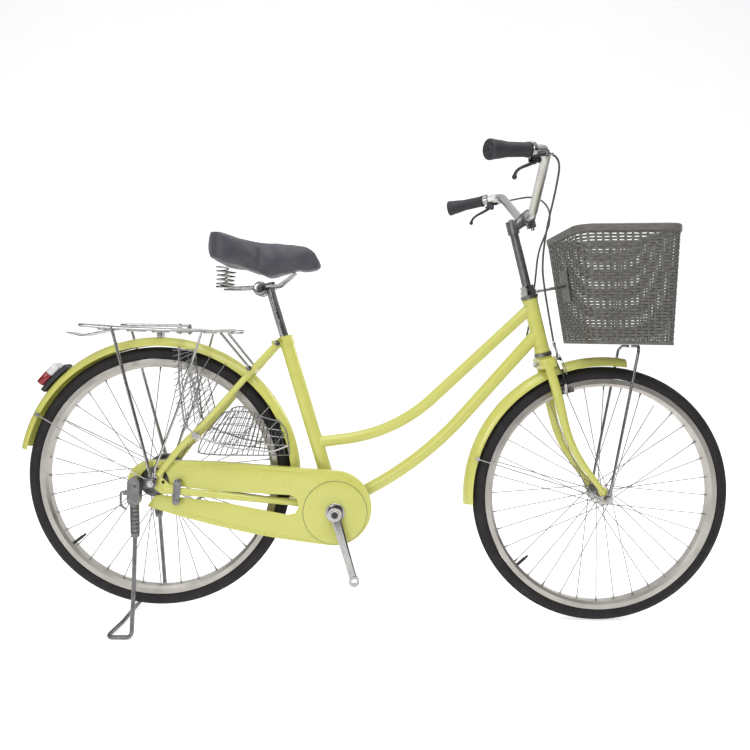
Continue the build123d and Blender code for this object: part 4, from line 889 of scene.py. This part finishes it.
def along(route, share):
    lengths = [math.hypot(b[0] - a[0], b[1] - a[1]) for a, b in zip(route, route[1:])]
    left = min(max(share, 0.0), 1.0) * sum(lengths)
    for (a, b), length in zip(zip(route, route[1:]), lengths):
        if left <= length or b == route[-1]:
            t = min(left / length, 1.0)
            return a[0] + (b[0] - a[0]) * t, a[1] + (b[1] - a[1]) * t
        left -= length


def onPanel(spot, hand, lift=0.0):
    x, z = spot
    r = math.hypot(x - rearAxle.x, z - rearAxle.z)
    side = guardSet["edgeSide"] + guardSet["swell"] * (guardSet["edge"] - r) + lift
    return (x, hand * min(max(side, guardSet["edgeSide"]), guardSet["widest"]), z)


def panelWire(bm, first, second, hand):
    steps = [between((*first, 0), (*second, 0), n / 3) for n in range(4)]
    addWire(bm, [onPanel(s[:2], hand) for s in steps], guardSet["wire"], steps=2, sides=1)


def panelRung(bm, pair, share, parts, hand):
    # a wire across the others, on the panel's inner side
    line = [between((*along(pair[0], n / parts), 0), (*along(pair[1], n / parts), 0), share)[:2]
            for n in range(parts + 1)]
    addWire(bm, [onPanel(s, hand, guardSet["inside"]) for s in line], guardSet["wire"], steps=3, sides=1)


def panelBorder(bm, route, hand):
    addWire(bm, [onPanel(s, hand) for s in route], guardSet["border"], steps=4, sides=2)


bm = bmesh.new()
back = (guardSet["backLeft"], guardSet["backRight"])
front = (guardSet["frontTop"], guardSet["frontLow"])
for hand in (-1, 1):
    for index in range(guardSet["backWires"]):
        share = (index + 0.5) / guardSet["backWires"]
        panelWire(bm, along(back[0], share), along(back[1], share * 1.12 - guardSet["slope"]), hand)
    for share in (0.33, 0.66):
        panelRung(bm, back, share, 4, hand)
    panelBorder(bm, guardSet["backRight"], hand)
    for index in range(guardSet["frontWires"]):
        share = (index + 0.5) / guardSet["frontWires"]
        panelWire(bm, along(front[0], share * 1.12), along(front[1], share - 0.02), hand)
    for share in (0.28, 0.48, 0.72):
        panelRung(bm, front, share, 6, hand)
    for route in (*front, guardSet["frontCorner"], guardSet["backCorner"]):
        panelBorder(bm, route, hand)
landPiece(bm, "dressGuardWires", "frame", ("darkChrome",))
print("dress guards wired")

# chain case: rolled edges, strap bolts
caseSet = {"roll": 0.0011, "bolts": ((-0.4969, 0.3675), (-0.5009, 0.3195)),
           "strapFace": -0.0711, "face": -0.0550,
           "ridges": (((-0.5560, 0.4075), (-0.3259, 0.4030), (-0.1680, 0.3900)),
                      ((-0.1720, 0.2190), (-0.3479, 0.2520), (-0.4780, 0.2850)))}
casePiece = mergedCopy("chainCaseCover", "chain_case")
bm = bmesh.new()
bm.from_mesh(casePiece.data)
bmesh.ops.dissolve_limit(bm, angle_limit=math.radians(2), verts=bm.verts, edges=bm.edges)
sharp = [e for e in bm.edges if len(e.link_faces) == 2 and e.calc_face_angle(0) > math.radians(60)
         and min(v.co.y for v in e.verts) < -0.0545]
bmesh.ops.bevel(bm, geom=sharp, offset=caseSet["roll"], offset_type="OFFSET", segments=3, profile=0.5,
                material=-1, affect="EDGES", clamp_overlap=True)
bmesh.ops.triangulate(bm, faces=[f for f in bm.faces if len(f.verts) > 4])
bm.to_mesh(casePiece.data)
bm.free()
smoothed(casePiece.data, 32.0)
casePiece.data.materials.append(finishes["lemonEnamel"])
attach(casePiece, "frame")
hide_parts("chain_case")


def arcThrough(a, b, c, count):
    # points on the circle through three spots of the side view
    ax, az, bx, bz, cx, cz = *a, *b, *c
    d = 2 * (ax * (bz - cz) + bx * (cz - az) + cx * (az - bz))
    ux = ((ax * ax + az * az) * (bz - cz) + (bx * bx + bz * bz) * (cz - az)
          + (cx * cx + cz * cz) * (az - bz)) / d
    uz = ((ax * ax + az * az) * (cx - bx) + (bx * bx + bz * bz) * (ax - cx)
          + (cx * cx + cz * cz) * (bx - ax)) / d
    first = math.atan2(az - uz, ax - ux)
    turn = (math.atan2(cz - uz, cx - ux) - first + math.pi) % math.tau - math.pi
    reach = math.hypot(ax - ux, az - uz)
    turns = [first + turn * n / count for n in range(count + 1)]
    return [(ux + reach * math.cos(t), uz + reach * math.sin(t)) for t in turns]


bm = bmesh.new()
for a, b, c in caseSet["ridges"]:
    addWire(bm, [(x, caseSet["face"], z) for x, z in arcThrough(a, b, c, 14)], 0.0030, steps=3, sides=2)
landPiece(bm, "caseRidges", "frame", ("lemonEnamel",))
# a thin dark ring round the disc: painted shade along the seam between disc and case
bm = bmesh.new()
addTurned(bm, ((0.0, 0.0792), (0.0013, 0.0795), (0.0016, 0.0800), (0.0, 0.0806)),
          (crankAxle.x, caseSet["face"] - 0.0002, crankAxle.z), (0, -1, 0), 96, closed=True)
landPiece(bm, "caseDiscSeamShade", "frame", ("castSteel",))
bm = bmesh.new()
for x, z in caseSet["bolts"]:
    place = (x, caseSet["strapFace"], z)
    addTurned(bm, ((0.0, 0.0), (0.0, 0.0066), (0.0008, 0.0066), (0.0010, 0.0058), (0.0010, 0.0)),
              place, (0, -1, 0), 28)
    addTurned(bm, ((0.0010, 0.0044), (0.0020, 0.0042), (0.0029, 0.0030), (0.0033, 0.0)),
              place, (0, -1, 0), 24)
landPiece(bm, "caseStrapBolts", "frame", ("darkChrome",))
bm = bmesh.new()
addTurned(bm, ((0.0012, 0.0170), (0.0012, 0.0232), (0.0020, 0.0240), (0.0027, 0.0232),
               (0.0027, 0.0214), (0.0018, 0.0170)),
          (crankAxle.x, caseSet["face"], crankAxle.z), (0, -1, 0), 56, closed=True)
landPiece(bm, "caseBoltRing", "frame", ("brightChrome",))
print("chain case rolled")

# tail lamp: clear lens above, red lens below
lampSet = {"foot": 0.3575, "rise": 0.012, "high": 0.020, "wide": 0.042, "corner": 0.008, "knots": 32,
           "edge": 0.0018, "roll": 0.35,
           "lenses": (("lampClearLens", 132.0, 136.4, "whiteLens"),
                      ("lampRedLens", 136.4, 141.5, "redLens"))}


def roundedLamp(share, inset):
    # a point on the lens's rounded outline: across, and out from the guard
    spot, way = roundedSpot(share, (lampSet["wide"], lampSet["high"]), lampSet["corner"])
    return (spot - way * inset)[:2]


for name, start, end, finishName in lampSet["lenses"]:
    bm = bmesh.new()
    rings = []
    middle = lampSet["foot"] + lampSet["rise"] + lampSet["high"] / 2
    knots, edge, roll = lampSet["knots"], lampSet["edge"], lampSet["roll"]
    for angle, inset in ((start, edge), (start + roll, 0.0), (end - roll, 0.0), (end, edge)):
        ring = []
        for knot in range(knots):
            spot = roundedLamp(knot / knots, inset)
            ring.append(bm.verts.new(roundAxle(rearAxle, middle + spot[1], angle, spot[0])))
        rings.append(ring)
    for one, two in zip(rings, rings[1:]):
        for knot in range(knots):
            after = (knot + 1) % knots
            bm.faces.new((one[knot], one[after], two[after], two[knot]))
    bm.faces.new(rings[0])
    bm.faces.new(rings[-1])
    landPiece(bm, name, "frame", (finishName,),
              ("tail_reflector_lens",) if finishName == "redLens" else ())
print("lamp lenses made")

# brazed joints: fillets between the frame's tubes
jointSet = {"voxel": 0.0016, "rounds": 26, "under": 0.0003}
brazed = (
    ("headUpperFillet", (((0.4012, 0, 0.74895), (0.3779, 0, 0.83483), 0.0185),
                         ((0.38337, 0, 0.81457), (0.3250, 0, 0.7586), 0.0143))),
    ("headLowerFillet", (((0.4100, 0, 0.7160), (0.3834, 0, 0.8146), 0.0185),
                         ((0.4012, 0, 0.74895), (0.3536, 0, 0.6942), 0.0159))),
    ("seatUpperFillet", (((-0.1391, 0, 0.3860), (-0.1850, 0, 0.5350), 0.01745),
                         ((-0.16168, 0, 0.45921), (-0.0870, 0, 0.4692), 0.0143))),
    ("bracketFillet", (((-0.1099, -0.034, 0.291), (-0.1099, 0.034, 0.291), 0.0200),
                       ((-0.1099, 0, 0.291), (-0.1334, 0, 0.3674), 0.01745),
                       ((-0.1099, 0, 0.291), (-0.0480, 0, 0.3267), 0.0159))),
)
fillets = []
for name, stubs in brazed:
    bm = bmesh.new()
    for start, end, radius in stubs:
        addRod(bm, start, end, radius - jointSet["under"], 48)
    mesh = meshFrom(bm, name)
    fillet = placed(name, mesh)
    remesh = fillet.modifiers.new("even", "REMESH")
    remesh.mode = "VOXEL"
    remesh.voxel_size = jointSet["voxel"] * 1.0
    smooth = fillet.modifiers.new("braze", "SMOOTH")
    smooth.factor = 0.5
    smooth.iterations = jointSet["rounds"]
    settled(fillet)
    smoothed(fillet.data)
    fillet.data.materials.append(finishes["lemonEnamel"])
    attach(fillet, "frame")
    fillets.append(fillet)
print("joints brazed:", sum(len(f.data.polygons) for f in fillets), "faces")

# stand: the leg's coil sleeve
standSet = {"top": (-0.5949, 0.332), "low": (-0.5932, 0.246), "side": 0.089,
            "turns": 24, "knots": 10, "coil": 0.0101, "wire": 0.0030}
bm = bmesh.new()
for hand in (-1, 1):
    start = Vector((standSet["top"][0], hand * standSet["side"], standSet["top"][1]))
    end = Vector((standSet["low"][0], hand * standSet["side"], standSet["low"][1]))
    coil = []
    count = standSet["turns"] * standSet["knots"]
    for knot in range(count + 1):
        turn = math.tau * knot / standSet["knots"]
        spot = between(start, end, knot / count)
        coil.append(spot + Vector((math.cos(turn), math.sin(turn), 0)) * standSet["coil"])
    addWire(bm, coil, standSet["wire"], steps=2, sides=1)
landPiece(bm, "standSleeveCoil", "stand", ("castSteel",))
print("stand sleeve wound")

# frame fittings: collars, bolts and caps
fitSet = {
    "seatTop": (-0.24494, 0.0, 0.72969), "seatWay": (-0.29421, 0.0, 0.95574),
    "headLow": (0.4151, 0.0, 0.6978), "headTop": (0.37787, 0.0, 0.83483),
    "steerWay": (-0.262189, 0.0, 0.965016),
    "bolts": (((-0.2610, 0.0290, 0.7115), 0.0058, 0.0032), ((-0.3269, 0.0500, 0.6500), 0.0052, 0.0050)),
}
bm = bmesh.new()
addTurned(bm, ((-0.0230, 0.0174), (-0.0225, 0.0187), (-0.0210, 0.0193), (-0.0020, 0.0193),
               (-0.0005, 0.0187), (0.0002, 0.0174), (0.0002, 0.0150)),
          fitSet["seatTop"], fitSet["seatWay"], 48)
addTurned(bm, ((0.0004, 0.0170), (0.0004, 0.0192), (0.0012, 0.0198), (0.0070, 0.0198),
               (0.0100, 0.0184)),
          fitSet["headLow"], fitSet["steerWay"], 48)
addTurned(bm, ((-0.0100, 0.0184), (-0.0070, 0.0198), (-0.0012, 0.0198), (-0.0004, 0.0192),
               (-0.0004, 0.0170)), fitSet["headTop"], fitSet["steerWay"], 48)
landPiece(bm, "tubeCollars", "frame", ("lemonEnamel",))
bm = bmesh.new()
for (x, y, z), radius, tall in fitSet["bolts"]:
    for hand in (-1, 1):
        place, way = Vector((x, hand * y, z)), Vector((0, hand, 0))
        addTurned(bm, ((-0.001, 0.0), (-0.001, radius * 1.3), (0.0010, radius * 1.3), (0.0012, radius)),
                  place, way, 28)
        addRod(bm, place + way * 0.0008, place + way * (tall + 0.0008), radius, 6)
        addTurned(bm, ((tall, radius * 0.6), (tall + 0.0016, radius * 0.5), (tall + 0.0022, 0.0)),
                  place, way, 16)
landPiece(bm, "frameBolts", "frame", ("darkChrome",))
capSeats = []
for hand in (-1, 1):
    faces = [hand * v.co.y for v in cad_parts["crank_arms"].data.vertices
             if math.hypot(v.co.x - crankAxle.x, v.co.z - crankAxle.z) < 0.014 and v.co.y * hand > 0]
    capSeats.append((crankAxle + Vector((0, hand * max(faces), 0)), Vector((0, hand, 0))))
bm = bmesh.new()
for place, way in capSeats:
    addTurned(bm, ((-0.0010, 0.0118), (0.0008, 0.0118), (0.0016, 0.0110), (0.0016, 0.0086),
                   (0.0004, 0.0078), (0.0004, 0.0)), place, way, 36)
landPiece(bm, "crankCapRings", "cranks", ("brightChrome",))
bm = bmesh.new()
for place, way in capSeats:
    addTurned(bm, ((0.0002, 0.0076), (0.0010, 0.0074), (0.0012, 0.0060), (0.0008, 0.0)), place, way, 28)
landPiece(bm, "crankCapCentres", "cranks", ("blackPlastic",))
print("frame fittings done")

# front caliper brake: return spring, barrel, anchor bolt
brakeSet = {"low": (0.4150993, 0.0, 0.6978), "ahead": (0.965016, 0.0, 0.262189),
            "up": (-0.262189, 0.0, 0.965016)}


def byFork(along, side, up):
    return (Vector(brakeSet["low"]) + Vector(brakeSet["ahead"]) * along / 1000
            + Vector((0, side / 1000, 0)) + Vector(brakeSet["up"]) * up / 1000)


bm = bmesh.new()
for hand in (-1, 1):
    addWire(bm, [byFork(38.2, hand * 33, -66), byFork(38.4, hand * 33, -50), byFork(38.4, hand * 20, -27),
                 byFork(38.4, hand * 6, -14), byFork(38.4, 0, -13)], 0.0020, steps=5, sides=1)
addRod(bm, byFork(30, -14, 20), byFork(30, -14, 10), 0.0038, 16)
addRod(bm, byFork(30, -14, 10), byFork(30, -14, 5), 0.0026, 12)
addRod(bm, byFork(30, -14, 20.5), byFork(30, -14, -25), 0.0008, 8)
for lift in (8.2, 11.5, 14.8, 18.1):
    addTurned(bm, ((-0.0007, 0.0036), (-0.0005, 0.0042), (0.0005, 0.0042), (0.0007, 0.0036)),
              byFork(30, -14, lift), brakeSet["up"], 16)
landPiece(bm, "brakeSpringBarrel", "steering_group", ("brightChrome",))
bm = bmesh.new()
addWire(bm, [byFork(33.4, 0, -22), byFork(33.4, -8, -12), byFork(32, -14, -4), byFork(31, -14, 5)],
        0.0058, steps=6, sides=2)
landPiece(bm, "brakeLeftEar", "caliper_left", ("brightChrome",))
bm = bmesh.new()
addRod(bm, byFork(30.2, -14, -25.5), byFork(38.0, -14, -25.5), 0.0046, 6)
addRod(bm, byFork(22, -27, -83), byFork(18.0, -27, -83), 0.0050, 6)
landPiece(bm, "brakeAnchorBolt", "caliper_right", ("darkChrome",))
print("front brake detailed")

# floor sweep
floorSet = {"half": 6.0, "back": 3.2, "bend": 1.2, "rise": 4.0}
bm = bmesh.new()
front = [bm.verts.new((-floorSet["half"], -5.0, 0.0)), bm.verts.new((floorSet["half"], -5.0, 0.0))]
edge = bm.edges.new(front)
moved = bmesh.ops.extrude_edge_only(bm, edges=[edge])
lip = [v for v in moved["geom"] if isinstance(v, bmesh.types.BMVert)]
bmesh.ops.translate(bm, verts=lip, vec=(0, 5.0 + floorSet["back"], 0))
lipEdges = [e for e in moved["geom"] if isinstance(e, bmesh.types.BMEdge)]
swept = bmesh.ops.spin(bm, geom=lip + lipEdges, cent=(0, floorSet["back"], floorSet["bend"]),
                       axis=(1, 0, 0), angle=math.radians(90), steps=16)
top = swept["geom_last"]
moved = bmesh.ops.extrude_edge_only(bm, edges=[e for e in top if isinstance(e, bmesh.types.BMEdge)])
bmesh.ops.translate(bm, verts=[v for v in moved["geom"] if isinstance(v, bmesh.types.BMVert)],
                    vec=(0, 0, floorSet["rise"]))
floorMesh = meshFrom(bm, "floorSweep")
smoothed(floorMesh)
floorMesh.materials.append(finishes["paleFloor"])
floor = placed("floorSweep", floorMesh)
